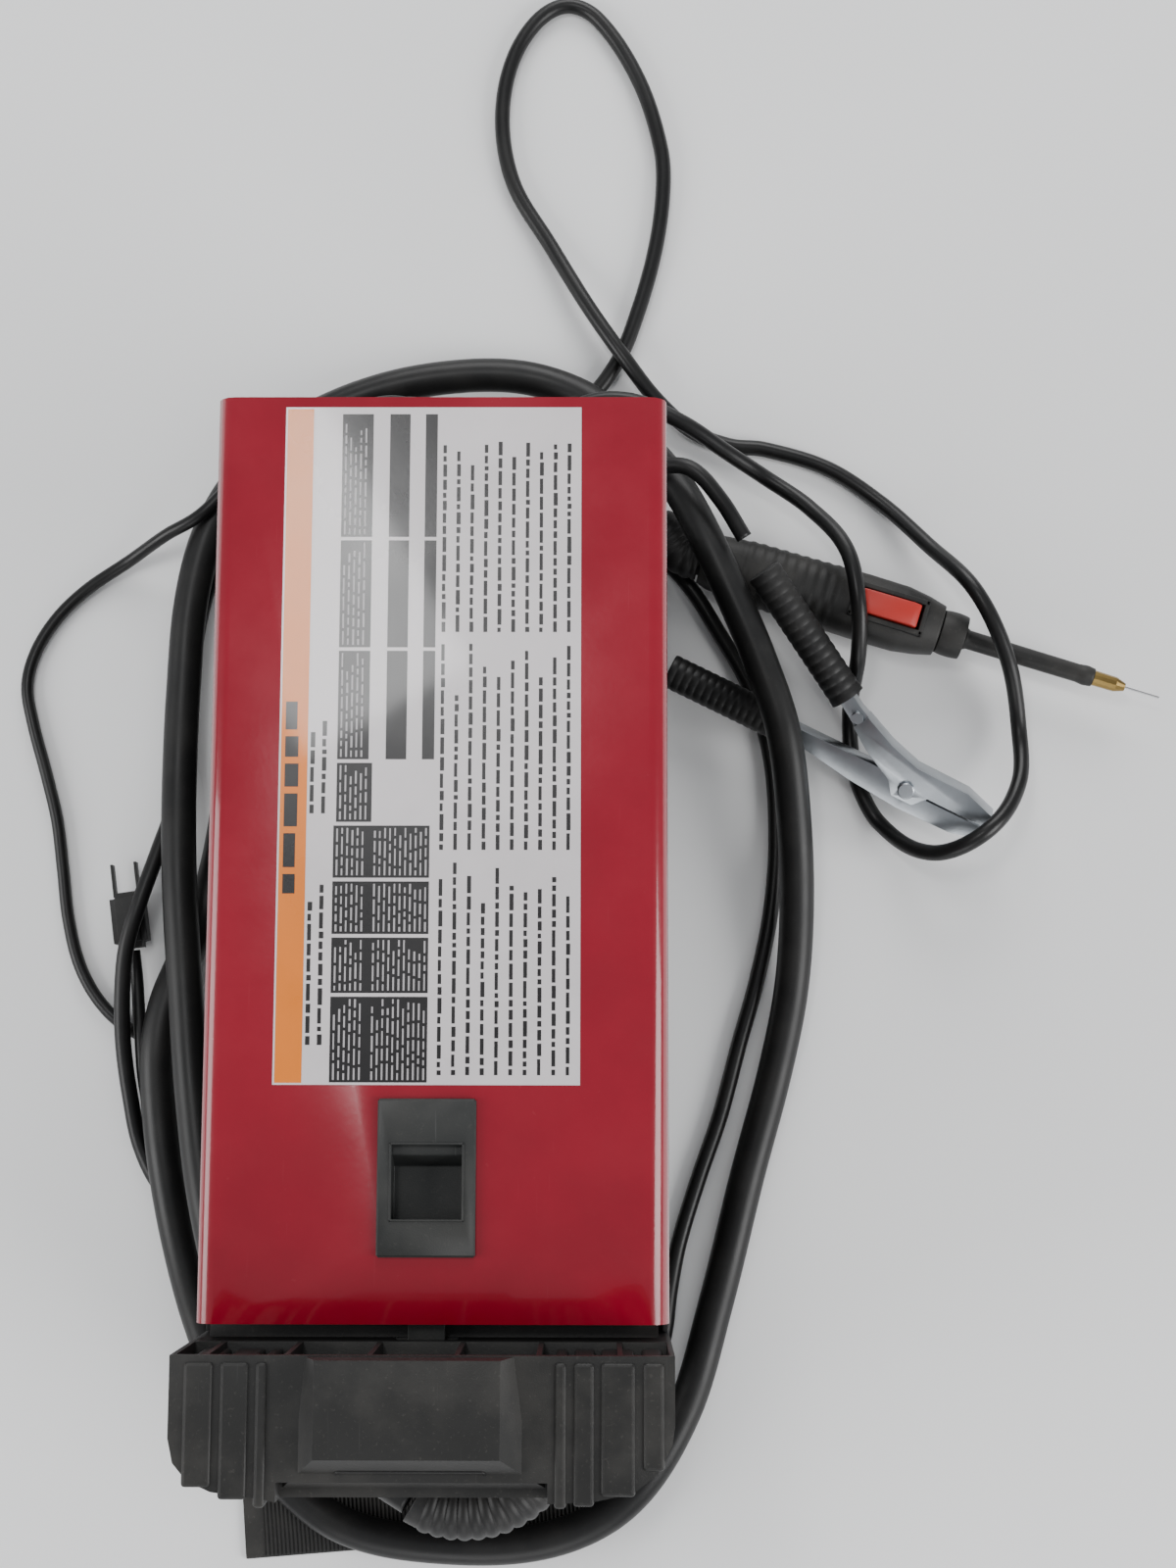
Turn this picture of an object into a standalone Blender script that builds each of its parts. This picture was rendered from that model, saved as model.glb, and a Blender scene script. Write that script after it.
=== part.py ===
"""Compact wire-feed welder with its gun, work clamp and mains cord.

Frame: metres, +Z up, the front faces -Y, +X is the operator's right when facing the rear.
The origin lies on the floor under the middle of the case.
"""
import math

import bmesh
import bpy
from mathutils import Matrix, Vector

# ---------------------------------------------------------------- driving dimensions
CASE_HALF_WIDTH = 0.095
CASE_FRONT = -0.160
CASE_REAR = 0.222
LID_TOP = 0.290
LID_SHEET = 0.0012
LID_FLANGE_BOTTOM = 0.2612
SIDE_SHEET = 0.0020
BEZEL_REAR = -0.1665
BEZEL_TOP = 0.334
BEZEL_CENTRE_X = -0.004
PANEL_FACE = -0.1927
FLOOR_GAP = 0.010
GAP = 0.0003
HINGE_Y = 0.2165
HINGE_Z = 0.2845
PARTITION_X = 0.0100
DRIVE_Y = -0.085
DRIVE_Z = 0.115
ROLL_RADIUS = 0.015
SPOOL_Y = 0.095
SPOOL_Z = 0.135
SPOOL_RADIUS = 0.100
BOOT_X = 0.0465
BOOT_Z = 0.100
BOOT_STRAIGHT_END = -0.223
BOOT_BEND_RADIUS = 0.045
BOOT_BEND = math.radians(120)
GUN_REAR = Vector((0.123, 0.218, 0.0190))
GUN_HEADING = math.radians(-17.3)
CLAMP_PIVOT = Vector((0.2315, 0.0925, 0.0220))
CLAMP_HEADING = math.radians(153.6)
CLAMP_TILT = math.radians(26)
MAT_TURN = math.radians(4.6)
GUN_CABLE_RADIUS = 0.00925
WORK_LEAD_RADIUS = 0.0043
MAINS_CORD_RADIUS = 0.0034
CORD_COIL_CENTRE = Vector((-0.045, 0.2640, 0.0395))
CORD_COIL_RADIUS = 0.034

# ---------------------------------------------------------------- cord routes, chosen by hand
GUN_CABLE_ROUTE = [
    (-0.0229, -0.2611, 0.1000),
    (-0.0450, -0.2485, 0.0975),
    (-0.0760, -0.2355, 0.0870),
    (-0.1065, -0.2095, 0.0750),
    (-0.1220, -0.1650, 0.0630),
    (-0.1350, -0.1200, 0.0520),
    (-0.1440, -0.0700, 0.0430),
    (-0.1500, -0.0200, 0.0370),
    (-0.1550, 0.0300, 0.0330),
    (-0.1575, 0.0650, 0.0290),
    (-0.1590, 0.1000, 0.0235),
    (-0.1590, 0.1450, 0.0192),
    (-0.1560, 0.1950, 0.0190),
    (-0.1460, 0.2360, 0.0190),
    (-0.1250, 0.2700, 0.0190),
    (-0.0940, 0.2960, 0.0190),
    (-0.0560, 0.3130, 0.0185),
    (-0.0160, 0.3210, 0.0185),
    (0.0220, 0.3210, 0.0190),
    (0.0530, 0.3110, 0.0210),
    (0.0770, 0.2930, 0.0260),
    (0.0950, 0.2720, 0.0330),
    (0.1100, 0.2500, 0.0410),
    (0.1235, 0.2220, 0.0480),
    (0.1370, 0.1910, 0.0495),
    (0.1510, 0.1560, 0.0510),
    (0.1630, 0.1190, 0.0490),
    (0.1690, 0.0760, 0.0390),
    (0.1715, 0.0300, 0.0250),
    (0.1690, -0.0150, 0.0150),
    (0.1600, -0.0600, 0.0098),
    (0.1450, -0.1140, 0.0096),
    (0.1280, -0.1800, 0.0096),
    (0.1100, -0.2370, 0.0105),
    (0.0810, -0.2790, 0.0134),
    (0.0410, -0.2990, 0.0134),
    (-0.0150, -0.3020, 0.0134),
    (-0.0660, -0.2920, 0.0134),
    (-0.1010, -0.2650, 0.0134),
    (-0.1250, -0.2280, 0.0136),
    (-0.1420, -0.1890, 0.0140),
    (-0.1530, -0.1500, 0.0180),
    (-0.1610, -0.1120, 0.0195),
    (-0.1660, -0.0780, 0.0185),
    (-0.1675, -0.0480, 0.0190),
    (-0.1640, -0.0230, 0.0160),
    (-0.1560, 0.0000, 0.0115),
    (-0.1470, 0.0240, 0.0098),
    (-0.1390, 0.0550, 0.0098),
    (-0.1330, 0.1000, 0.0098),
    (-0.1290, 0.1550, 0.0098),
    (-0.1250, 0.2000, 0.0120),
    (-0.1130, 0.2330, 0.0175),
    (-0.0900, 0.2520, 0.0190),
    (-0.0500, 0.2570, 0.0190),
    (0.0000, 0.2570, 0.0190),
    (0.0450, 0.2550, 0.0190),
    (0.0750, 0.2480, 0.0192),
    (0.0945, 0.2375, 0.0195),
]
WORK_LEAD_ROUTE = [
    (-0.0200, -0.2257, 0.0600),
    (-0.0199, -0.2350, 0.0595),
    (-0.0180, -0.2470, 0.0500),
    (-0.0100, -0.2580, 0.0300),
    (0.0120, -0.2620, 0.0130),
    (0.0400, -0.2570, 0.0086),
    (0.0660, -0.2450, 0.0084),
    (0.0880, -0.2260, 0.0050),
    (0.1000, -0.2000, 0.0046),
    (0.1040, -0.1740, 0.0046),
    (0.1090, -0.1490, 0.0046),
    (0.1200, -0.1140, 0.0046),
    (0.1310, -0.0830, 0.0046),
    (0.1420, -0.0430, 0.0046),
    (0.1510, -0.0120, 0.0046),
    (0.1590, 0.0250, 0.0046),
    (0.1625, 0.0650, 0.0046),
    (0.1600, 0.1100, 0.0046),
    (0.1490, 0.1490, 0.0046),
    (0.1310, 0.1820, 0.0046),
    (0.1160, 0.2060, 0.0046),
    (0.0990, 0.2235, 0.0046),
    (0.0790, 0.2335, 0.0046),
    (0.0500, 0.2375, 0.0046),
    (0.0000, 0.2375, 0.0046),
    (-0.0480, 0.2375, 0.0046),
    (-0.0760, 0.2365, 0.0046),
    (-0.0975, 0.2290, 0.0046),
    (-0.1070, 0.2110, 0.0046),
    (-0.1095, 0.1900, 0.0046),
    (-0.1065, 0.1500, 0.0046),
    (-0.1040, 0.1000, 0.0046),
    (-0.1030, 0.0200, 0.0046),
    (-0.1030, -0.0500, 0.0046),
    (-0.1050, -0.0880, 0.0046),
    (-0.1140, -0.1150, 0.0046),
    (-0.1300, -0.1310, 0.0046),
    (-0.1490, -0.1330, 0.0046),
    (-0.1660, -0.1210, 0.0046),
    (-0.1780, -0.0990, 0.0050),
    (-0.1835, -0.0730, 0.0090),
    (-0.1870, -0.0450, 0.0140),
    (-0.1870, -0.0180, 0.0200),
    (-0.1845, 0.0060, 0.0245),
    (-0.1780, 0.0300, 0.0250),
    (-0.1705, 0.0560, 0.0200),
    (-0.1640, 0.0830, 0.0110),
    (-0.1600, 0.1150, 0.0050),
    (-0.1575, 0.1600, 0.0046),
    (-0.1500, 0.2040, 0.0046),
    (-0.1340, 0.2430, 0.0046),
    (-0.1050, 0.2710, 0.0046),
    (-0.0600, 0.2830, 0.0046),
    (-0.0100, 0.2860, 0.0046),
    (0.0300, 0.2940, 0.0046),
    (0.0600, 0.3130, 0.0046),
    (0.0760, 0.3340, 0.0046),
    (0.0860, 0.3580, 0.0046),
    (0.0970, 0.3970, 0.0046),
    (0.1020, 0.4320, 0.0046),
    (0.1010, 0.4600, 0.0046),
    (0.0880, 0.5020, 0.0046),
    (0.0650, 0.5380, 0.0046),
    (0.0470, 0.5460, 0.0046),
    (0.0290, 0.5350, 0.0046),
    (0.0150, 0.5080, 0.0046),
    (0.0110, 0.4730, 0.0046),
    (0.0180, 0.4380, 0.0046),
    (0.0380, 0.4030, 0.0060),
    (0.0600, 0.3640, 0.0120),
    (0.0790, 0.3350, 0.0146),
    (0.0980, 0.3110, 0.0100),
    (0.1180, 0.2940, 0.0060),
    (0.1390, 0.2860, 0.0046),
    (0.1580, 0.2840, 0.0046),
    (0.1930, 0.2730, 0.0046),
    (0.2220, 0.2530, 0.0060),
    (0.2460, 0.2270, 0.0160),
    (0.2680, 0.1960, 0.0380),
    (0.2850, 0.1600, 0.0330),
    (0.2930, 0.1250, 0.0180),
    (0.2900, 0.0930, 0.0290),
    (0.2700, 0.0660, 0.0425),
    (0.2430, 0.0560, 0.0290),
    (0.2190, 0.0740, 0.0060),
    (0.2060, 0.1010, 0.0052),
    (0.2030, 0.1350, 0.0090),
    (0.2050, 0.1620, 0.0350),
    (0.2040, 0.1880, 0.0470),
    (0.1980, 0.2180, 0.0445),
    (0.1800, 0.2440, 0.0300),
    (0.1570, 0.2620, 0.0250),
    (0.1350, 0.2740, 0.0340),
    (0.1120, 0.2870, 0.0430),
    (0.0850, 0.2990, 0.0440),
    (0.0600, 0.2990, 0.0420),
    (0.0400, 0.2860, 0.0400),
    (0.0340, 0.2650, 0.0390),
    (0.0440, 0.2460, 0.0400),
    (0.0640, 0.2420, 0.0430),
    (0.0840, 0.2530, 0.0490),
    (0.1000, 0.2590, 0.0570),
    (0.1150, 0.2560, 0.0630),
    (0.1300, 0.2400, 0.0625),
    (0.1430, 0.2200, 0.0580),
]
MAINS_CORD_TO_COIL = [
    (-0.0550, 0.2607, 0.0750),
    (-0.0548, 0.2680, 0.0746),
    (-0.0500, 0.2800, 0.0710),
    (-0.0370, 0.2915, 0.0605),
    (-0.0230, 0.2905, 0.0560),
    (-0.0120, 0.2800, 0.0540),
    (-0.0085, 0.2660, 0.0510),
]
MAINS_CORD_ROUTE = [
    (-0.0885, 0.2850, 0.0330),
    (-0.0960, 0.2910, 0.0330),
    (-0.1060, 0.2880, 0.0330),
    (-0.1200, 0.2745, 0.0330),
    (-0.1350, 0.2545, 0.0328),
    (-0.1510, 0.2385, 0.0320),
    (-0.1700, 0.2300, 0.0240),
    (-0.1930, 0.2190, 0.0090),
    (-0.2170, 0.2040, 0.0042),
    (-0.2330, 0.1880, 0.0036),
    (-0.2440, 0.1690, 0.0036),
    (-0.2480, 0.1500, 0.0036),
    (-0.2440, 0.1290, 0.0036),
    (-0.2360, 0.1020, 0.0036),
    (-0.2290, 0.0760, 0.0036),
    (-0.2250, 0.0500, 0.0036),
    (-0.2210, 0.0220, 0.0036),
    (-0.2140, -0.0030, 0.0036),
    (-0.2030, -0.0220, 0.0036),
    (-0.1880, -0.0360, 0.0037),
    (-0.1690, -0.0450, 0.0037),
    (-0.1500, -0.0550, 0.0037),
    (-0.1370, -0.0700, 0.0037),
    (-0.1335, -0.0880, 0.0037),
    (-0.1400, -0.1020, 0.0037),
    (-0.1530, -0.1080, 0.0037),
    (-0.1650, -0.1020, 0.0037),
    (-0.1720, -0.0860, 0.0045),
    (-0.1765, -0.0640, 0.0085),
    (-0.1785, -0.0410, 0.0110),
    (-0.1800, -0.0250, 0.0108),
    (-0.1815, -0.0100, 0.0102),
    (-0.1835, 0.0045, 0.0100),
]

# ---------------------------------------------------------------- colours
RED = ("case_red", (0.30, 0.010, 0.018), 0.30, 0.0)
BLACK = ("moulded_black", (0.020, 0.020, 0.019), 0.55, 0.0)
DARK = ("latch_grey", (0.045, 0.048, 0.044), 0.50, 0.0)
RUBBER = ("black_rubber", (0.015, 0.015, 0.015), 0.70, 0.0)
ZINC = ("zinc_plate", (0.45, 0.50, 0.54), 0.35, 1.0)
BRASS = ("brass", (0.45, 0.33, 0.12), 0.35, 1.0)
COPPER = ("copper", (0.55, 0.25, 0.12), 0.40, 1.0)
TRIGGER_RED = ("trigger_red", (0.60, 0.08, 0.05), 0.45, 0.0)
BOARD_GREEN = ("board_green", (0.02, 0.12, 0.05), 0.50, 0.0)
ALUMINIUM = ("aluminium", (0.60, 0.61, 0.62), 0.40, 1.0)
WHITE = ("white_plastic", (0.60, 0.60, 0.57), 0.50, 0.0)


PARTS = None
TOOLS = None


# ---------------------------------------------------------------- scene and object helpers
def clear_scene():
    """Remove every object that the file starts with."""
    for item in list(bpy.data.objects):
        bpy.data.objects.remove(item, do_unlink=True)


def new_collection(name):
    """Make a collection linked to the scene."""
    group = bpy.data.collections.new(name)
    bpy.context.scene.collection.children.link(group)
    return group


def principled(look):
    """Return the Principled material for a (name, colour, roughness, metallic) look."""
    name, colour, roughness, metallic = look
    found = bpy.data.materials.get(name)
    if found:
        return found
    made = bpy.data.materials.new(name)
    made.use_nodes = True
    shader = made.node_tree.nodes["Principled BSDF"]
    shader.inputs["Base Color"].default_value = (*colour, 1.0)
    shader.inputs["Roughness"].default_value = roughness
    shader.inputs["Metallic"].default_value = metallic
    return made


def place(name, mesh, look):
    """Link a mesh as a named part."""
    item = bpy.data.objects.new(name, mesh)
    PARTS.objects.link(item)
    item.data.materials.append(principled(look))
    return item


def mesh_from(name, shape):
    """Turn a bmesh into mesh data, with its normals outward."""
    bmesh.ops.recalc_face_normals(shape, faces=shape.faces)
    mesh = bpy.data.meshes.new(name)
    shape.to_mesh(mesh)
    shape.free()
    return mesh


def solid(name, shape, look):
    """Make a part from a bmesh."""
    return place(name, mesh_from(name, shape), look)


def tool(name, shape):
    """Make a hidden cutter or joiner from a bmesh."""
    item = bpy.data.objects.new(name, mesh_from(name, shape))
    TOOLS.objects.link(item)
    item.hide_render = True
    item.display_type = "WIRE"
    return item


def combine(target, other, operation):
    """Add an exact Boolean modifier to the target."""
    step = target.modifiers.new(other.name, "BOOLEAN")
    step.operation = operation
    step.solver = "EXACT"
    step.object = other


def cut(target, name, shape):
    """Cut a bmesh out of the target."""
    combine(target, tool(name, shape), "DIFFERENCE")


def join(target, name, shape):
    """Join a bmesh to the target."""
    combine(target, tool(name, shape), "UNION")


# ---------------------------------------------------------------- shape helpers
def box(low, high, bevel=0.0, segments=2, axis=None):
    """A box between two corners; bevel rounds its edges, or only those along one axis."""
    shape = bmesh.new()
    bmesh.ops.create_cube(shape, size=1.0)
    size = [high[i] - low[i] for i in range(3)]
    middle = [(high[i] + low[i]) / 2 for i in range(3)]
    bmesh.ops.scale(shape, vec=size, verts=shape.verts)
    bmesh.ops.translate(shape, vec=middle, verts=shape.verts)
    if bevel:
        edges = [edge for edge in shape.edges if axis is None or runs_along(edge, axis)]
        bmesh.ops.bevel(shape, geom=edges, offset=bevel, segments=segments, affect="EDGES")
    return shape


def runs_along(edge, axis):
    """Whether an edge runs along the axis number given."""
    line = edge.verts[1].co - edge.verts[0].co
    return abs(line[axis]) > 0.99 * line.length


def rod(start, end, radius, sides=16, end_radius=None):
    """A cylinder, or a cone frustum, between two points."""
    start = Vector(start)
    line = Vector(end) - start
    shape = bmesh.new()
    bmesh.ops.create_cone(
        shape,
        cap_ends=True,
        segments=sides,
        radius1=radius,
        radius2=radius if end_radius is None else end_radius,
        depth=line.length,
    )
    turn = Vector((0, 0, 1)).rotation_difference(line).to_matrix().to_4x4()
    bmesh.ops.transform(shape, matrix=Matrix.Translation(start + line / 2) @ turn, verts=shape.verts)
    return shape


def gather(*shapes):
    """Put several bmeshes, which do not touch, into one tool."""
    merged = bmesh.new()
    for shape in shapes:
        mesh = bpy.data.meshes.new("gather")
        shape.to_mesh(mesh)
        shape.free()
        merged.from_mesh(mesh)
        bpy.data.meshes.remove(mesh)
    return merged


def turned(name, profile, origin, axis, look, steps=24, ring=False):
    """Turn a (radius, height) profile, listed from the top down, about an axis through origin."""
    mesh = bpy.data.meshes.new(name)
    points = [(radius, 0.0, height) for radius, height in profile]
    edges = [(i, i + 1) for i in range(len(points) - 1)]
    if ring:
        edges.append((len(points) - 1, 0))
    mesh.from_pydata(points, edges, [])
    item = place(name, mesh, look)
    item.location = origin
    item.rotation_mode = "QUATERNION"
    item.rotation_quaternion = Vector((0, 0, 1)).rotation_difference(Vector(axis))
    screw = item.modifiers.new("turn", "SCREW")
    screw.steps = steps
    screw.render_steps = steps
    screw.use_merge_vertices = True
    screw.merge_threshold = 0.00001
    screw.use_smooth_shade = True
    return item


def outline_solid(name, outline, low, high, look):
    """Extrude a flat outline, given in X and Y, from one height to another."""
    curve = bpy.data.curves.new(name, "CURVE")
    curve.dimensions = "2D"
    curve.fill_mode = "BOTH"
    curve.extrude = (high - low) / 2
    line = curve.splines.new("POLY")
    line.points.add(len(outline) - 1)
    for point, (x, y) in zip(line.points, outline):
        point.co = (x, y, 0.0, 1.0)
    line.use_cyclic_u = True
    source = bpy.data.objects.new(name + "_curve", curve)
    bpy.context.scene.collection.objects.link(source)
    source.location.z = (high + low) / 2
    return curve_to_solid(source, name, look)


def curve_to_solid(source, name, look):
    """Turn a curve object into a welded mesh part and remove the curve."""
    bpy.context.view_layer.update()
    graph = bpy.context.evaluated_depsgraph_get()
    mesh = bpy.data.meshes.new_from_object(source.evaluated_get(graph))
    mesh.transform(source.matrix_world)
    shape = bmesh.new()
    shape.from_mesh(mesh)
    bmesh.ops.remove_doubles(shape, verts=shape.verts, dist=0.00001)
    bmesh.ops.recalc_face_normals(shape, faces=shape.faces)
    shape.to_mesh(mesh)
    shape.free()
    bpy.data.objects.remove(source, do_unlink=True)
    return place(name, mesh, look)


def arc(centre, radius, start, end, count):
    """Points on an arc, angles in degrees."""
    angles = [math.radians(start + (end - start) * i / (count - 1)) for i in range(count)]
    return [(centre[0] + radius * math.cos(a), centre[1] + radius * math.sin(a)) for a in angles]


def smooth_route(route, count):
    """Evenly spaced points on a smooth curve through the route, closer together at its ends."""
    knots = [Vector(point) for point in route]
    fine = []
    for i in range(len(knots) - 1):
        fine += hermite_span(knots, i)
    fine.append(knots[-1])
    lengths = [0.0]
    for before, after in zip(fine, fine[1:]):
        lengths.append(lengths[-1] + (after - before).length)
    total = lengths[-1]
    stations = [total * i / (count - 1) for i in range(count)]
    if total > 0.5:
        stations += [0.002, 0.006, 0.012, total - 0.012, total - 0.006, total - 0.002]
    spaced = []
    span = 0
    for wanted in sorted(stations):
        while span < len(lengths) - 2 and lengths[span + 1] < wanted:
            span += 1
        share = (wanted - lengths[span]) / (lengths[span + 1] - lengths[span])
        spaced.append(fine[span].lerp(fine[span + 1], share))
    return spaced


def hermite_span(knots, i):
    """Sixteen points of the cubic between two knots, headed along their neighbours' chords."""
    start = knots[i]
    end = knots[i + 1]
    length = (end - start).length
    leave = (end - knots[max(i - 1, 0)]).normalized() * length
    reach = (knots[min(i + 2, len(knots) - 1)] - start).normalized() * length
    points = []
    for step in range(16):
        t = step / 16
        near = start * (2 * t ** 3 - 3 * t ** 2 + 1) + end * (3 * t ** 2 - 2 * t ** 3)
        points.append(near + leave * (t ** 3 - 2 * t ** 2 + t) + reach * (t ** 3 - t ** 2))
    return points


def tube(name, points, radius, look, resolution=2, flatten=1.0):
    """A round tube along points, with filled ends; radius may be one number or one per point."""
    curve = bpy.data.curves.new(name, "CURVE")
    curve.dimensions = "3D"
    curve.bevel_depth = 1.0
    curve.bevel_resolution = resolution
    curve.use_fill_caps = True
    line = curve.splines.new("POLY")
    line.points.add(len(points) - 1)
    radii = radius if isinstance(radius, list) else [radius] * len(points)
    for point, at, thick in zip(line.points, points, radii):
        point.co = (*at, 1.0)
        point.radius = thick
    source = bpy.data.objects.new(name + "_curve", curve)
    bpy.context.scene.collection.objects.link(source)
    item = curve_to_solid(source, name, look)
    if flatten != 1.0:
        level = points[0][2]
        squash = Matrix.Translation((0, 0, level)) @ Matrix.Diagonal((1, 1, flatten, 1))
        item.data.transform(squash @ Matrix.Translation((0, 0, -level)))
    return item


def move(shape, matrix):
    """Place a bmesh by a matrix."""
    bmesh.ops.transform(shape, matrix=matrix, verts=shape.verts)
    return shape


def hull(points):
    """The convex hull of a few points."""
    shape = bmesh.new()
    for point in points:
        shape.verts.new(point)
    bmesh.ops.convex_hull(shape, input=shape.verts)
    return shape


# ---------------------------------------------------------------- case
def build_case_shell():
    """Base pan, feet, side panels and rear panel."""
    pan = solid("base_pan", box((-0.0927, -0.1500, FLOOR_GAP), (0.0927, 0.2090, 0.034)), BLACK)
    cut(pan, "pan_hollow", box((-0.0907, -0.1480, 0.012), (0.0907, 0.2070, 0.050)))
    feet = [rod((x, y, 0.0), (x, y, 0.0110), 0.0090, 16) for x in (-0.075, 0.075) for y in (-0.138, 0.190)]
    feet.append(rod((0.0, 0.0, 0.0), (0.0, 0.0, 0.0110), 0.0140, 20))
    join(pan, "moulded_feet", gather(*feet))
    for side, sign in (("left", -1), ("right", 1)):
        outer = sign * CASE_HALF_WIDTH
        inner = sign * (CASE_HALF_WIDTH - SIDE_SHEET)
        lip = sign * (CASE_HALF_WIDTH - 0.0038)
        low, high = min(outer, inner), max(outer, inner)
        panel = solid(f"side_panel_{side}", box((low, -0.1660, 0.006), (high, 0.2120, 0.2600)), BLACK)
        seam = sign * (CASE_HALF_WIDTH - 0.0017)
        low, high = min(lip, seam), max(lip, seam)
        join(panel, f"panel_lip_{side}", box((low, -0.1560, 0.2480), (high, 0.2100, 0.2845)))
        slots = []
        for row in range(6):
            height = 0.150 + 0.012 * row
            reach = sign * (CASE_HALF_WIDTH + 0.005), sign * (CASE_HALF_WIDTH - 0.0045)
            slots.append(box((min(reach), 0.040, height), (max(reach), 0.150, height + 0.004)))
        cut(panel, f"panel_louvers_{side}", gather(*slots))
    rear = solid("rear_panel", box((-0.0932, 0.2128, 0.006), (0.0932, 0.2203, 0.2765)), BLACK)
    cut(rear, "rear_pocket", box((-0.0900, 0.2050, 0.009), (0.0900, 0.2183, 0.2735)))
    cut(rear, "rear_inlet", rod((-0.055, 0.20, 0.075), (-0.055, 0.23, 0.075), 0.0075))
    louvers = [box((0.022, 0.21, 0.111 + 0.009 * i), (0.082, 0.23, 0.115 + 0.009 * i)) for i in range(6)]
    cut(rear, "rear_louvers", gather(*louvers))
    for number, x in enumerate((-0.065, 0.065)):
        knuckle = box((x - 0.0075, HINGE_Y - 0.0025, 0.2745), (x + 0.0075, HINGE_Y + 0.0025, 0.2870))
        join(rear, f"knuckle_{number}", knuckle)
    cut(rear, "knuckle_bore", rod((-0.08, HINGE_Y, HINGE_Z), (0.08, HINGE_Y, HINGE_Z), 0.0018))
    pin = rod((-0.075, HINGE_Y, HINGE_Z), (0.075, HINGE_Y, HINGE_Z), 0.0015)
    solid("hinge_pin", pin, ZINC)
    relief = [
        (0.0, 0.0394), (0.0055, 0.0394), (0.0078, 0.0090), (0.0105, 0.0085), (0.0105, 0.0003),
        (0.0070, 0.0003), (0.0070, -0.0120), (0.0, -0.0120),
    ]
    turned("power_relief", relief, (-0.055, 0.2206, 0.075), (0, 1, 0), RUBBER)


def build_lid():
    """Top lid with its bends, hinge tabs and latch opening."""
    low = (-CASE_HALF_WIDTH, CASE_FRONT, LID_FLANGE_BOTTOM)
    lid = solid("top_lid", lid_block(low, (CASE_HALF_WIDTH, CASE_REAR, LID_TOP), 0.008), RED)
    inside = CASE_HALF_WIDTH - LID_SHEET
    low = (-inside, CASE_FRONT + LID_SHEET, 0.24)
    high = (inside, CASE_REAR - LID_SHEET, LID_TOP - LID_SHEET)
    cut(lid, "lid_hollow", lid_block(low, high, 0.0068))
    cut(lid, "lid_front_lip", box((-0.0930, -0.17, 0.24), (0.0930, -0.1550, 0.2800)))
    cut(lid, "lid_rear_lip", box((-0.0970, 0.2195, 0.24), (0.0970, 0.23, 0.2820)))
    for number, x in enumerate((-0.065, 0.065)):
        notch = box((x - 0.010, 0.2195, 0.24), (x + 0.010, 0.23, 0.2880))
        cut(lid, f"lid_rear_notch_{number}", notch)
    for number, x in enumerate((-0.0475, 0.0475)):
        tab = box((x - 0.0075, HINGE_Y - 0.003, 0.2815), (x + 0.0075, HINGE_Y + 0.003, 0.2893))
        join(lid, f"lid_tab_{number}", tab)
    cut(lid, "lid_tab_bore", rod((-0.08, HINGE_Y, HINGE_Z), (0.08, HINGE_Y, HINGE_Z), 0.0019))
    cut(lid, "lid_latch_hole", box((-0.0205, -0.1275, 0.28), (0.0155, -0.0805, 0.30)))
    cut(lid, "lid_tongue_notch", box((-0.0125, -0.17, 0.27), (0.0075, -0.155, 0.2845)))
    plate = solid("latch_plate", box((-0.0224, -0.1337, 0.2903), (0.0173, -0.0709, 0.2925), 0.0006), DARK)
    cut(plate, "latch_window", box((-0.0166, -0.1187, 0.28), (0.0117, -0.0893, 0.30)))
    slide = solid("latch_slide", box((-0.0195, -0.1265, 0.2780), (0.0145, -0.0875, 0.2900)), DARK)
    cut(slide, "latch_recess", hull([
        (x, y, z)
        for x in (-0.0168, 0.0118)
        for y, z in ((-0.1225, 0.2800), (-0.1225, 0.3000), (-0.0980, 0.2800), (-0.0890, 0.3000))
    ]))
    join(slide, "latch_tongue", box((-0.010, -0.1715, 0.2800), (0.005, -0.1260, 0.2835)))


def lid_block(low, high, radius):
    """A block with its two long top edges rounded."""
    shape = box(low, high)
    edges = [edge for edge in shape.edges if runs_along(edge, 1) and edge.verts[0].co.z > 0.27]
    bmesh.ops.bevel(shape, geom=edges, offset=radius, segments=4, affect="EDGES", profile=0.5)
    return shape


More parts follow.
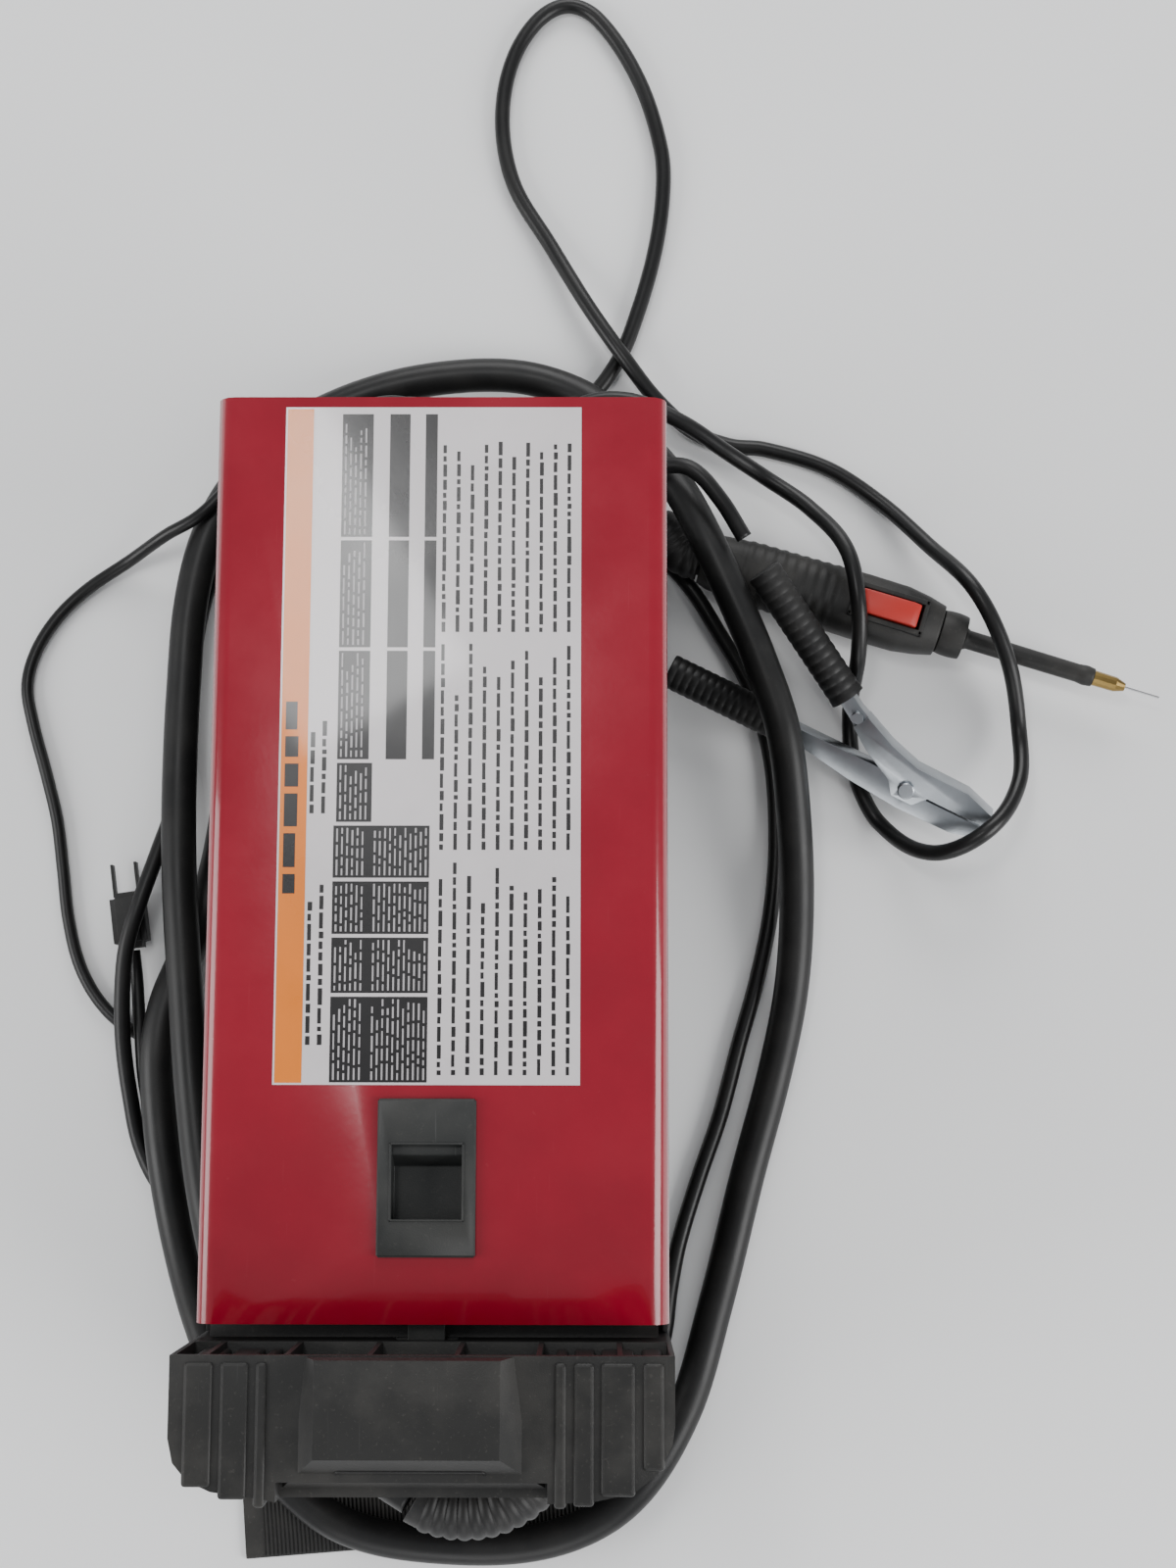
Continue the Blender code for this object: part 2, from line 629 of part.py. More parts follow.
def build_bezel():
    """Front moulding with its hollow brow, and the control panel behind it."""
    outline = [
        (-0.0955, BEZEL_REAR), (-0.0955, -0.1970), (-0.0935, -0.2060), (-0.0880, -0.2125),
        (-0.0790, -0.2165), (-0.0573, -0.2195), (-0.0540, -0.2205), (0.0510, -0.2205),
         (0.0660, -0.2195), (0.0800, -0.2165), (0.0890, -0.2095),
        (0.0945, -0.1990), (0.0955, -0.1920), (0.0955, BEZEL_REAR),
    ]
    bezel = outline_solid("front_bezel", outline, 0.0040, BEZEL_TOP, BLACK)
    join(bezel, "bezel_spigot", box((-0.0908, -0.1700, 0.0125), (0.0908, -0.1515, 0.2755)))
    cut(bezel, "bezel_cavity", box((-0.0880, -0.1900, 0.0150), (0.0880, -0.1400, 0.2730)))
    cut(bezel, "bezel_rebate", box((-0.0720, -0.1930, 0.0300), (0.0720, -0.1800, 0.2740)))
    cut(bezel, "bezel_opening", box((-0.0680, -0.2400, 0.0340), (0.0680, -0.1850, 0.2700), 0.004, 2, 1))
    ribs = [-0.0820, -0.0516, -0.0201, 0.0129, 0.0440, 0.0748]
    edges = [-0.0935] + [x + side for x in ribs for side in (-0.001, 0.001)] + [0.0935]
    pockets = []
    for i in range(0, len(edges), 2):
        depth = -0.2030 if i in (0, len(edges) - 2) else -0.2055
        pockets.append(box((edges[i], depth, 0.2915), (edges[i + 1], -0.1500, 0.3310)))
    cut(bezel, "brow_pockets", gather(*pockets))
    cut(bezel, "latch_keeper", box((-0.0150, -0.1765, 0.2785), (0.0100, -0.1500, 0.2850)))
    cut(bezel, "brow_step", box((-0.0545, -0.2400, 0.3220), (0.0475, -0.2130, 0.3500)))
    join(bezel, "brow_hump", hull([
        (-0.0395, -0.1670, 0.3450), (0.0300, -0.1670, 0.3450), (-0.0395, -0.2030, 0.3450),
        (0.0300, -0.2030, 0.3450), (-0.0450, -0.1670, 0.3320), (0.0355, -0.1670, 0.3320),
        (-0.0540, -0.2175, 0.3210), (0.0470, -0.2175, 0.3210),
    ]))
    panel = solid("front_panel", box((-0.0717, PANEL_FACE, 0.0303), (0.0717, -0.1900, 0.2737)), BLACK)
    holes = [
        rod((x, -0.20, z), (x, -0.18, z), radius, 24)
        for x, z, radius in (
            (-0.033, 0.215, 0.0034), (0.033, 0.215, 0.0034), (0.045, 0.150, 0.0044),
            (BOOT_X, BOOT_Z, 0.0125), (-0.020, 0.060, 0.0070),
        )
    ]
    holes.append(box((-0.0075, -0.20, 0.1390), (0.0075, -0.18, 0.1610)))
    cut(panel, "panel_holes", gather(*holes))
    knob = [
        (0.0, 0.0160), (0.0125, 0.0160), (0.0142, 0.0140), (0.0150, 0.0003), (0.0030, 0.0003),
        (0.0030, -0.0100), (0.0, -0.0100),
    ]
    for name, x in (("wire_speed_knob", -0.033), ("voltage_knob", 0.033)):
        item = turned(name, knob, (x, PANEL_FACE - GAP, 0.215), (0, -1, 0), BLACK, 24)
        join(item, name + "_grip", box((x - 0.002, -0.2120, 0.2035), (x + 0.002, -0.2050, 0.2265)))
    rocker = solid("power_rocker", hull([
        (x, y, 0.150 + z)
        for x in (-0.0068, 0.0068)
        for y, z in ((-0.1985, -0.0095), (-0.1960, 0.0), (-0.1985, 0.0095), (-0.1885, 0.0080), (-0.1885, -0.0080))
    ]), TRIGGER_RED)
    join(rocker, "rocker_mark", box((-0.001, -0.1982, 0.1530), (0.001, -0.1950, 0.1570)))
    button = [(0.0, 0.0058), (0.0050, 0.0058), (0.0060, 0.0050), (0.0060, 0.0033), (0.0040, 0.0033), (0.0040, -0.0080), (0.0, -0.0080)]
    turned("breaker_button", button, (0.045, PANEL_FACE, 0.150), (0, -1, 0), BLACK, 16)
    gland = [(0.0, 0.0060), (0.0165, 0.0060), (0.0180, 0.0045), (0.0180, 0.0003), (0.0120, 0.0003), (0.0120, -0.0110), (0.0, -0.0110)]
    turned("gun_gland", gland, (BOOT_X, PANEL_FACE, BOOT_Z), (0, -1, 0), BLACK, 24)
    relief = [
        (0.0, 0.0323), (0.0060, 0.0323), (0.0085, 0.0100), (0.0105, 0.0095), (0.0105, 0.0003),
        (0.0065, 0.0003), (0.0065, -0.0100), (0.0, -0.0100),
    ]
    turned("lead_gland", relief, (-0.020, PANEL_FACE, 0.060), (0, -1, 0), RUBBER, 16)


# ---------------------------------------------------------------- inside
def build_feed():
    """Partition, feed plate, rolls, pressure arm, motor, guide and spool."""
    wall = solid("centre_partition", box((PARTITION_X, -0.1477, 0.0123), (0.0118, 0.2067, 0.2560)), ALUMINIUM)
    cut(wall, "partition_bore", rod((0.0, DRIVE_Y, DRIVE_Z), (0.02, DRIVE_Y, DRIVE_Z), 0.0055))
    plate = solid("feed_plate", box((-0.0010, -0.1300, 0.0800), (0.0097, -0.0450, 0.1850), 0.003, 2, 0), ALUMINIUM)
    join(plate, "pivot_boss", rod((-0.0155, -0.120, 0.150), (0.002, -0.120, 0.150), 0.0060))
    cut(plate, "feed_bores", gather(
        rod((-0.02, -0.120, 0.150), (0.005, -0.120, 0.150), 0.0032),
        rod((-0.02, DRIVE_Y, DRIVE_Z), (0.02, DRIVE_Y, DRIVE_Z), 0.0044),
    ))
    roll = [
        (0.0, 0.0180), (0.0060, 0.0180), (0.0060, 0.0150), (ROLL_RADIUS, 0.0150), (ROLL_RADIUS, 0.0100),
        (0.0143, 0.0095), (ROLL_RADIUS, 0.0090), (ROLL_RADIUS, 0.0040), (0.0040, 0.0040), (0.0040, -0.0112), (0.0, -0.0112),
    ]
    turned("drive_roll", roll, (0.0, DRIVE_Y, DRIVE_Z), (-1, 0, 0), ZINC, 24)
    idle = [(0.0031, 0.0152), (ROLL_RADIUS, 0.0152), (ROLL_RADIUS, 0.0040), (0.0031, 0.0040)]
    turned("idle_roll", idle, (0.0, DRIVE_Y, 0.1456), (-1, 0, 0), ZINC, 24, ring=True)
    arm = solid("pressure_arm", box((-0.0220, -0.1280, 0.1420), (-0.0158, -0.0500, 0.1540), 0.002, 2, 0), BLACK)
    join(arm, "arm_pivot", rod((-0.018, -0.120, 0.150), (-0.0020, -0.120, 0.150), 0.0028))
    join(arm, "arm_axle", rod((-0.018, DRIVE_Y, 0.1456), (-0.0030, DRIVE_Y, 0.1456), 0.0027))
    join(arm, "arm_head", box((-0.0270, -0.0640, 0.1400), (-0.0110, -0.0480, 0.1500), 0.002, 2, 2))
    knob = [(0.0, 0.0200), (0.0075, 0.0200), (0.0085, 0.0185), (0.0085, 0.0003), (0.0, 0.0003)]
    turned("pressure_knob", knob, (-0.019, -0.0565, 0.1540), (0, 0, 1), BLACK, 16)
    motor = solid("gear_motor", box((0.0121, -0.1150, 0.0900), (0.0420, -0.0550, 0.1650), 0.003, 2, 0), ALUMINIUM)
    join(motor, "motor_can", rod((0.0400, DRIVE_Y, 0.130), (0.0880, DRIVE_Y, 0.130), 0.0240, 24))
    guide = [(0.0012, 0.0180), (0.0035, 0.0180), (0.0035, 0.0), (0.0012, 0.0)]
    inlet = turned("inlet_guide", guide, (-0.0095, -0.0640, 0.1303), (0, 1, 0), BRASS, 12, ring=True)
    join(inlet, "guide_bracket", box((-0.0068, -0.0600, 0.1275), (-0.0013, -0.0500, 0.1330)))
    liner = [
        (-0.0095, -0.1045, 0.1303), (-0.0095, -0.1320, 0.1300), (-0.0020, -0.1520, 0.1250),
        (0.0180, -0.1640, 0.1140), (0.0380, -0.1700, 0.1040), (0.0463, -0.1740, 0.1000), (0.0465, -0.1805, 0.1000),
    ]
    tube("wire_liner", smooth_route(liner, 14), 0.0025, BLACK, 1)
    hub = [
        (0.0, 0.0797), (0.0076, 0.0797), (0.0076, 0.0225), (0.0140, 0.0225), (0.0140, -0.0050),
        (0.0200, -0.0050), (0.0200, -0.0097), (0.0, -0.0097),
    ]
    centre = (0.0, SPOOL_Y, SPOOL_Z)
    turned("spool_hub", hub, centre, (-1, 0, 0), BLACK, 20)
    spool = [
        (0.0082, 0.0780), (SPOOL_RADIUS, 0.0780), (SPOOL_RADIUS, 0.0750), (0.0300, 0.0750),
        (0.0300, 0.0260), (SPOOL_RADIUS, 0.0260), (SPOOL_RADIUS, 0.0230), (0.0082, 0.0230),
    ]
    turned("wire_spool", spool, centre, (-1, 0, 0), BLACK, 32, ring=True)
    winding = [(0.0303, 0.0747), (0.0850, 0.0747), (0.0850, 0.0263), (0.0303, 0.0263)]
    turned("wire_winding", winding, centre, (-1, 0, 0), COPPER, 32, ring=True)
    nut = [(0.0, 0.0905), (0.0130, 0.0905), (0.0160, 0.0880), (0.0160, 0.0800), (0.0, 0.0800)]
    turned("hub_nut", nut, centre, (-1, 0, 0), BLACK, 12)


def build_power():
    """Circuit boards, transformer, choke, heat sink and fan."""
    board = solid("control_board", box((-0.0600, -0.1770, 0.1700), (0.0600, -0.1754, 0.2500)), BOARD_GREEN)
    parts = gather(
        box((-0.050, -0.1760, 0.175), (-0.020, -0.1650, 0.190)),
        box((0.010, -0.1760, 0.180), (0.030, -0.1680, 0.200)),
        rod((0.045, -0.176, 0.185), (0.045, -0.158, 0.185), 0.006, 12),
        box((-0.040, -0.1760, 0.225), (-0.026, -0.1700, 0.238)),
    )
    join(board, "control_parts", parts)
    power = solid("power_board", box((0.0200, 0.0000, 0.1000), (0.0216, 0.1700, 0.2350)), BOARD_GREEN)
    joined = gather(
        rod((0.021, 0.025, 0.130), (0.058, 0.025, 0.130), 0.014, 16),
        rod((0.021, 0.025, 0.165), (0.058, 0.025, 0.165), 0.014, 16),
        box((0.021, 0.050, 0.190), (0.045, 0.080, 0.222)),
        rod((0.0122, 0.008, 0.108), (0.021, 0.008, 0.108), 0.003, 8),
        rod((0.0122, 0.162, 0.108), (0.021, 0.162, 0.108), 0.003, 8),
        rod((0.0122, 0.008, 0.227), (0.021, 0.008, 0.227), 0.003, 8),
        rod((0.0122, 0.162, 0.227), (0.021, 0.162, 0.227), 0.003, 8),
    )
    join(power, "power_parts", joined)
    sink = solid("heat_sink", box((0.0219, 0.0600, 0.1100), (0.0270, 0.1600, 0.1700)), ALUMINIUM)
    fins = [box((0.025, 0.0600, 0.1100 + 0.0097 * i), (0.0700, 0.1600, 0.1118 + 0.0097 * i)) for i in range(7)]
    join(sink, "sink_fins", gather(*fins))
    core = solid("main_transformer", box((0.0220, 0.0200, 0.0123), (0.0840, 0.1000, 0.0760)), ZINC)
    join(core, "transformer_coil", box((0.0170, 0.0380, 0.0250), (0.0890, 0.0820, 0.0860), 0.006, 2, 1))
    ring = [(0.0140, 0.0240), (0.0200, 0.0280), (0.0280, 0.0240), (0.0310, 0.0140), (0.0280, 0.0040), (0.0200, 0.0), (0.0140, 0.0040), (0.0120, 0.0140)]
    turned("output_choke", ring, (0.052, -0.020, 0.0125), (0, 0, 1), COPPER, 24, ring=True)
    frame = solid("fan_frame", box((0.0130, 0.1860, 0.1000), (0.0910, 0.2060, 0.1780), 0.003, 2, 1), BLACK)
    cut(frame, "fan_bore", rod((0.052, 0.17, 0.139), (0.052, 0.22, 0.139), 0.0365, 32))
    join(frame, "fan_strut", box((0.0150, 0.2020, 0.1370), (0.0890, 0.2055, 0.1410)))
    join(frame, "fan_hub_seat", rod((0.052, 0.2015, 0.139), (0.052, 0.2058, 0.139), 0.0130, 24))
    rotor = [(0.0, 0.0), (0.0130, 0.0), (0.0140, 0.0015), (0.0140, 0.0130), (0.0, 0.0130)]
    rotor = [(radius, -height) for radius, height in rotor]
    fan = turned("fan_rotor", rotor, (0.052, 0.1880, 0.139), (0, -1, 0), BLACK, 24)
    blades = []
    for i in range(6):
        blade = box((0.0125, -0.0055, -0.0008), (0.0340, 0.0055, 0.0008))
        pitch = Matrix.Rotation(math.radians(38), 4, "X")
        around = Matrix.Rotation(math.tau * i / 6, 4, "Y")
        blades.append(move(blade, Matrix.Translation((0.052, 0.1945, 0.139)) @ around @ pitch))
    join(fan, "fan_blades", gather(*blades))


# ---------------------------------------------------------------- gun, clamp and cords
def build_gun():
    """Boot, cable, rear boot, handle halves, trigger, nut, neck, tip and wire."""
    points = [Vector((BOOT_X, y, BOOT_Z)) for y in (-0.1992, -0.2050, -0.2110, -0.2170)]
    centre_x = BOOT_X - BOOT_BEND_RADIUS
    for i in range(22):
        turn = BOOT_BEND * i / 21
        x = centre_x + BOOT_BEND_RADIUS * math.cos(turn)
        points.append(Vector((x, BOOT_STRAIGHT_END - BOOT_BEND_RADIUS * math.sin(turn), BOOT_Z)))
    radii = [0.0160 - 0.0035 * i / 25 - (0.0014 if i % 3 == 1 else 0.0) for i in range(26)]
    radii[-2:] = [0.0125, 0.0125]
    tube("gun_boot", points, radii, RUBBER)
    cable = smooth_route(GUN_CABLE_ROUTE, 80)
    tube("gun_cable", cable, GUN_CABLE_RADIUS, RUBBER)
    along = Vector((math.cos(GUN_HEADING), math.sin(GUN_HEADING), 0))
    across = Vector((-along.y, along.x, 0))
    leave = (cable[-1] - cable[-2]).normalized()
    start = cable[-1] + leave * 0.0008
    rear = smooth_route([start, start + leave * 0.010, GUN_REAR - along * 0.012, GUN_REAR - along * 0.0015], 10)
    tube("gun_rear_boot", rear, [0.0105, 0.0108, 0.0110, 0.0113, 0.0116, 0.0119, 0.0122, 0.0124, 0.0125, 0.0125], RUBBER, 2)
    grip = [
        (0.0, 0.0140), (0.006, 0.0152), (0.025, 0.0170), (0.060, 0.0178), (0.090, 0.0182),
        (0.112, 0.0178), (0.124, 0.0160), (0.1335, 0.0138),
    ]
    handle_frame = Matrix.Translation(GUN_REAR) @ Matrix.Rotation(GUN_HEADING, 4, "Z")
    for side, sign in (("left", 1), ("right", -1)):
        half = tube(
            f"gun_handle_{side}", [GUN_REAR + along * s for s, r in grip], [r for s, r in grip], BLACK, 4, 0.95,
        )
        far = box((-0.05, -0.06, -0.06), (0.20, 0.00015, 0.06))
        far = far if sign == 1 else move(far, Matrix.Rotation(math.pi, 4, "X"))
        cut(half, f"handle_split_{side}", move(far, handle_frame))
        slot = box((0.0850, -0.0070, 0.0020), (0.1215, 0.0070, 0.0400))
        cut(half, f"trigger_slot_{side}", move(slot, handle_frame))
    trigger = solid("gun_trigger", move(hull([
        (s, n, z)
        for n in (-0.0064, 0.0064)
        for s, z in ((0.0865, 0.0075), (0.0865, 0.0180), (0.0900, 0.0190), (0.1160, 0.0200), (0.1200, 0.0185), (0.1200, 0.0075))
    ]), handle_frame), TRIGGER_RED)
    trigger.data.update()
    nut = [(0.0, 0.1476), (0.0115, 0.1476), (0.0125, 0.1462), (0.0125, 0.1342), (0.0, 0.1342)]
    turned("gun_nut", nut, GUN_REAR, along, BLACK, 20)
    solid("gun_neck", rod(GUN_REAR + along * 0.1479, GUN_REAR + along * 0.2204, 0.0052), BLACK)
    tip = [(0.0, 0.2382), (0.0022, 0.2382), (0.0040, 0.2330), (0.0042, 0.2207), (0.0, 0.2207)]
    turned("contact_tip", tip, GUN_REAR, along, BRASS, 12)
    solid("weld_wire", rod(GUN_REAR + along * 0.2385, GUN_REAR + along * 0.2575, 0.0006, 8), ZINC)


def build_clamp():
    """Spring work clamp: two arms, pivot pin, spring and two handle sleeves."""
    u = Vector((math.cos(CLAMP_HEADING), math.sin(CLAMP_HEADING), 0))
    w = Vector((math.sin(CLAMP_HEADING), -math.cos(CLAMP_HEADING), 0))
    v = w * math.cos(CLAMP_TILT) + Vector((0, 0, math.sin(CLAMP_TILT)))
    frame = Matrix.Translation(CLAMP_PIVOT) @ Matrix((u, v, u.cross(v))).transposed().to_4x4()
    spread = math.radians(31)
    lift = frame @ Matrix.Rotation(spread, 4, "Z")
    lower = [
        (-0.048, -0.0008), (-0.047, -0.0070), (-0.030, -0.0110), (0.000, -0.0115), (0.030, -0.0090), (0.062, -0.0040),
        (0.138, -0.0040), (0.138, 0.0040), (0.062, 0.0040), (0.020, 0.0045), (0.006, 0.0060), (-0.006, 0.0060), (-0.012, -0.0008),
    ]
    arm = outline_solid("clamp_lower_arm", lower, -0.0065, 0.0065, ZINC)
    arm.data.transform(frame)
    cut(arm, "lower_spring_gap", move(box((-0.0085, -0.0075, -0.0045), (0.0085, 0.0200, 0.0045)), frame))
    cut(arm, "lower_channel", move(box((0.0120, -0.0200, -0.0050), (0.1000, 0.0020, 0.0050)), frame))
    cut(arm, "lower_bore", move(rod((0, 0, -0.02), (0, 0, 0.02), 0.0031), frame))
    cosine, sine = math.cos(spread), math.sin(spread)

    def tilt(s, t):
        return (s * cosine - t * sine, s * sine + t * cosine)

    upper = [
        (-0.048, 0.0008), (-0.030, 0.0008), (-0.012, 0.0008), (-0.006, -0.0060), (0.006, -0.0060), (0.011, 0.0010),
        tilt(0.030, -0.0060), tilt(0.050, -0.0040), tilt(0.136, -0.0040), tilt(0.136, 0.0040), tilt(0.050, 0.0040),
        tilt(0.025, 0.0070), (0.000, 0.0135), (-0.030, 0.0130), (-0.047, 0.0075),
    ]
    arm = outline_solid("clamp_upper_arm", upper, -0.0082, 0.0082, ZINC)
    arm.data.transform(frame)
    cut(arm, "upper_channel", move(box((-0.0380, -0.0200, -0.0070), (0.0330, 0.0095, 0.0070)), frame))
    cut(arm, "upper_neck_channel", move(box((0.0080, -0.0200, -0.00685), (0.0440, 0.0020, 0.00685)), lift))
    cut(arm, "upper_handle_waist", move(gather(
        box((0.0440, -0.0200, 0.0060), (0.16, 0.02, 0.0200)),
        box((0.0440, -0.0200, -0.0200), (0.16, 0.02, -0.0060)),
    ), lift))
    cut(arm, "upper_bore", move(rod((0, 0, -0.02), (0, 0, 0.02), 0.0031), frame))
    solid("clamp_pivot", move(rod((0, 0, -0.0100), (0, 0, 0.0100), 0.0028), frame), ZINC)
    coil = [(0.0034, 0.0042), (0.0055, 0.0042), (0.0062, 0.0028), (0.0055, 0.0014), (0.0062, 0.0), (0.0055, -0.0014), (0.0062, -0.0028), (0.0055, -0.0042), (0.0034, -0.0042)]
    turned("clamp_spring", coil, CLAMP_PIVOT, u.cross(v), ZINC, 16, ring=True)
    for name, start, end, matrix, half in (
        ("clamp_lower_sleeve", 0.072, 0.142, frame, 0.0068),
        ("clamp_upper_sleeve", 0.058, 0.139, lift, 0.0063),
    ):
        sleeve = solid(name, move(rod((start, 0, 0), (end, 0, 0), 0.0095, 20), matrix), RUBBER)
        reach = end - 0.0015
        cut(sleeve, name + "_pocket", move(box((start - 0.01, -0.0044, -half), (reach, 0.0044, half)), matrix))


def build_cords():
    """Work lead, mains cord with its coil, plug and the mat under the front."""
    tube("work_lead", smooth_route(WORK_LEAD_ROUTE, 120), WORK_LEAD_RADIUS, RUBBER)
    tube("mains_cord_inlet", smooth_route(MAINS_CORD_TO_COIL, 12), MAINS_CORD_RADIUS, RUBBER)
    tube("mains_cord", smooth_route(MAINS_CORD_ROUTE, 60), MAINS_CORD_RADIUS, RUBBER)
    section = arc((CORD_COIL_RADIUS, 0.0), 0.0068, 360, 0, 13)[:-1]
    turned("mains_coil", section, CORD_COIL_CENTRE, (0, 0, 1), RUBBER, 28, ring=True)
    heading = math.radians(98)
    frame = Matrix.Translation((-0.1840, 0.0060, 0.0100)) @ Matrix.Rotation(heading, 4, "Z")
    plug = solid("mains_plug", move(box((0.0, -0.0090, -0.0080), (0.0300, 0.0090, 0.0080), 0.003), frame), RUBBER)
    join(plug, "plug_blades", move(gather(
        box((0.028, -0.0070, -0.0030), (0.046, -0.0056, 0.0030)),
        box((0.028, 0.0056, -0.0030), (0.046, 0.0070, 0.0030)),
    ), frame))
    mat = box((0.0, 0.0, 0.0), (0.185, 0.140, 0.0035))
    turn = Matrix.Translation((-0.117, -0.312, 0)) @ Matrix.Rotation(MAT_TURN, 4, "Z")
    mat = solid("rest_mat", move(mat, turn), RUBBER)
    grooves = [box((0.012 + 0.008 * i, 0.002, 0.0028), (0.0142 + 0.008 * i, 0.138, 0.0060)) for i in range(21)]
    cut(mat, "mat_grooves", move(gather(*grooves), turn))


clear_scene()
PARTS = new_collection("wire_feed_welder")
TOOLS = new_collection("cutters")
build_case_shell()
build_lid()
build_bezel()
build_feed()
build_power()
build_gun()
build_clamp()
build_cords()
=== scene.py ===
"""Studio scene of a compact wire-feed welder with its gun, work clamp, leads and rubber mat.

Axes: metres, +Z up, the front faces -Y and the origin lies on the floor under the middle of the case.
Finished pieces stand at the origin, unturned and unscaled, so their object coordinates are the frame's.
"""

import logging
import math
from dataclasses import dataclass, field
from enum import Enum

import bmesh
import bpy
import numpy as np
from mathutils import Matrix, Vector


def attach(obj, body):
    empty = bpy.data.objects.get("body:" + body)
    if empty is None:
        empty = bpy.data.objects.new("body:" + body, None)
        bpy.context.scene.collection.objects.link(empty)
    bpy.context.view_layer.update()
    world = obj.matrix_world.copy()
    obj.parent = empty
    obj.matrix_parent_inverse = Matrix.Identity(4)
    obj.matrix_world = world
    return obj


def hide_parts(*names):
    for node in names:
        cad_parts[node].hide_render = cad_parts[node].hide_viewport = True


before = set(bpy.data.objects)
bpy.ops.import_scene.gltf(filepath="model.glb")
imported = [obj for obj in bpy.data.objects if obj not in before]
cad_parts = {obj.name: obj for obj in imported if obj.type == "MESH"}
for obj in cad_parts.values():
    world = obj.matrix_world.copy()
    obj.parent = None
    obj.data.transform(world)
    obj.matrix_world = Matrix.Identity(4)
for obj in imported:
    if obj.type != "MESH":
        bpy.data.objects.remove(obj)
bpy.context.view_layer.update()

LOG = logging.getLogger("welder")
Point = tuple[float, float, float]

# ------------------------------------------------------------------ cord routes, in metres
GUN_CABLE_ROUTE: tuple[Point, ...] = (
    (-0.0229, -0.2611, 0.1), (-0.045, -0.2485, 0.0975), (-0.076, -0.2355, 0.087),
    (-0.1065, -0.2095, 0.075), (-0.122, -0.165, 0.063), (-0.135, -0.12, 0.052), (-0.144, -0.07, 0.043),
    (-0.15, -0.02, 0.037), (-0.155, 0.03, 0.033), (-0.1575, 0.065, 0.029), (-0.159, 0.1, 0.0235),
    (-0.159, 0.145, 0.0192), (-0.156, 0.195, 0.019), (-0.146, 0.236, 0.019), (-0.125, 0.27, 0.019),
    (-0.094, 0.296, 0.019), (-0.056, 0.313, 0.0185), (-0.016, 0.321, 0.0185), (0.022, 0.321, 0.019),
    (0.053, 0.311, 0.021), (0.077, 0.293, 0.026), (0.095, 0.272, 0.033), (0.11, 0.25, 0.041),
    (0.1235, 0.222, 0.048), (0.137, 0.191, 0.0495), (0.151, 0.156, 0.051), (0.163, 0.119, 0.049),
    (0.169, 0.076, 0.039), (0.1715, 0.03, 0.025), (0.169, -0.015, 0.015), (0.16, -0.06, 0.0098),
    (0.145, -0.114, 0.0096), (0.128, -0.18, 0.0096), (0.11, -0.237, 0.0105), (0.081, -0.279, 0.0134),
    (0.041, -0.299, 0.0134), (-0.015, -0.302, 0.0134), (-0.066, -0.292, 0.0134),
    (-0.101, -0.265, 0.0134), (-0.125, -0.228, 0.0136), (-0.142, -0.189, 0.014), (-0.153, -0.15, 0.018),
    (-0.161, -0.112, 0.0195), (-0.166, -0.078, 0.0185), (-0.1675, -0.048, 0.019),
    (-0.164, -0.023, 0.016), (-0.156, 0, 0.0115), (-0.147, 0.024, 0.0098), (-0.139, 0.055, 0.0098),
    (-0.133, 0.1, 0.0098), (-0.129, 0.155, 0.0098), (-0.125, 0.2, 0.012), (-0.113, 0.233, 0.0175),
    (-0.09, 0.252, 0.019), (-0.05, 0.257, 0.019), (0, 0.257, 0.019), (0.045, 0.255, 0.019),
    (0.075, 0.248, 0.0192), (0.0945, 0.2375, 0.0195),
)

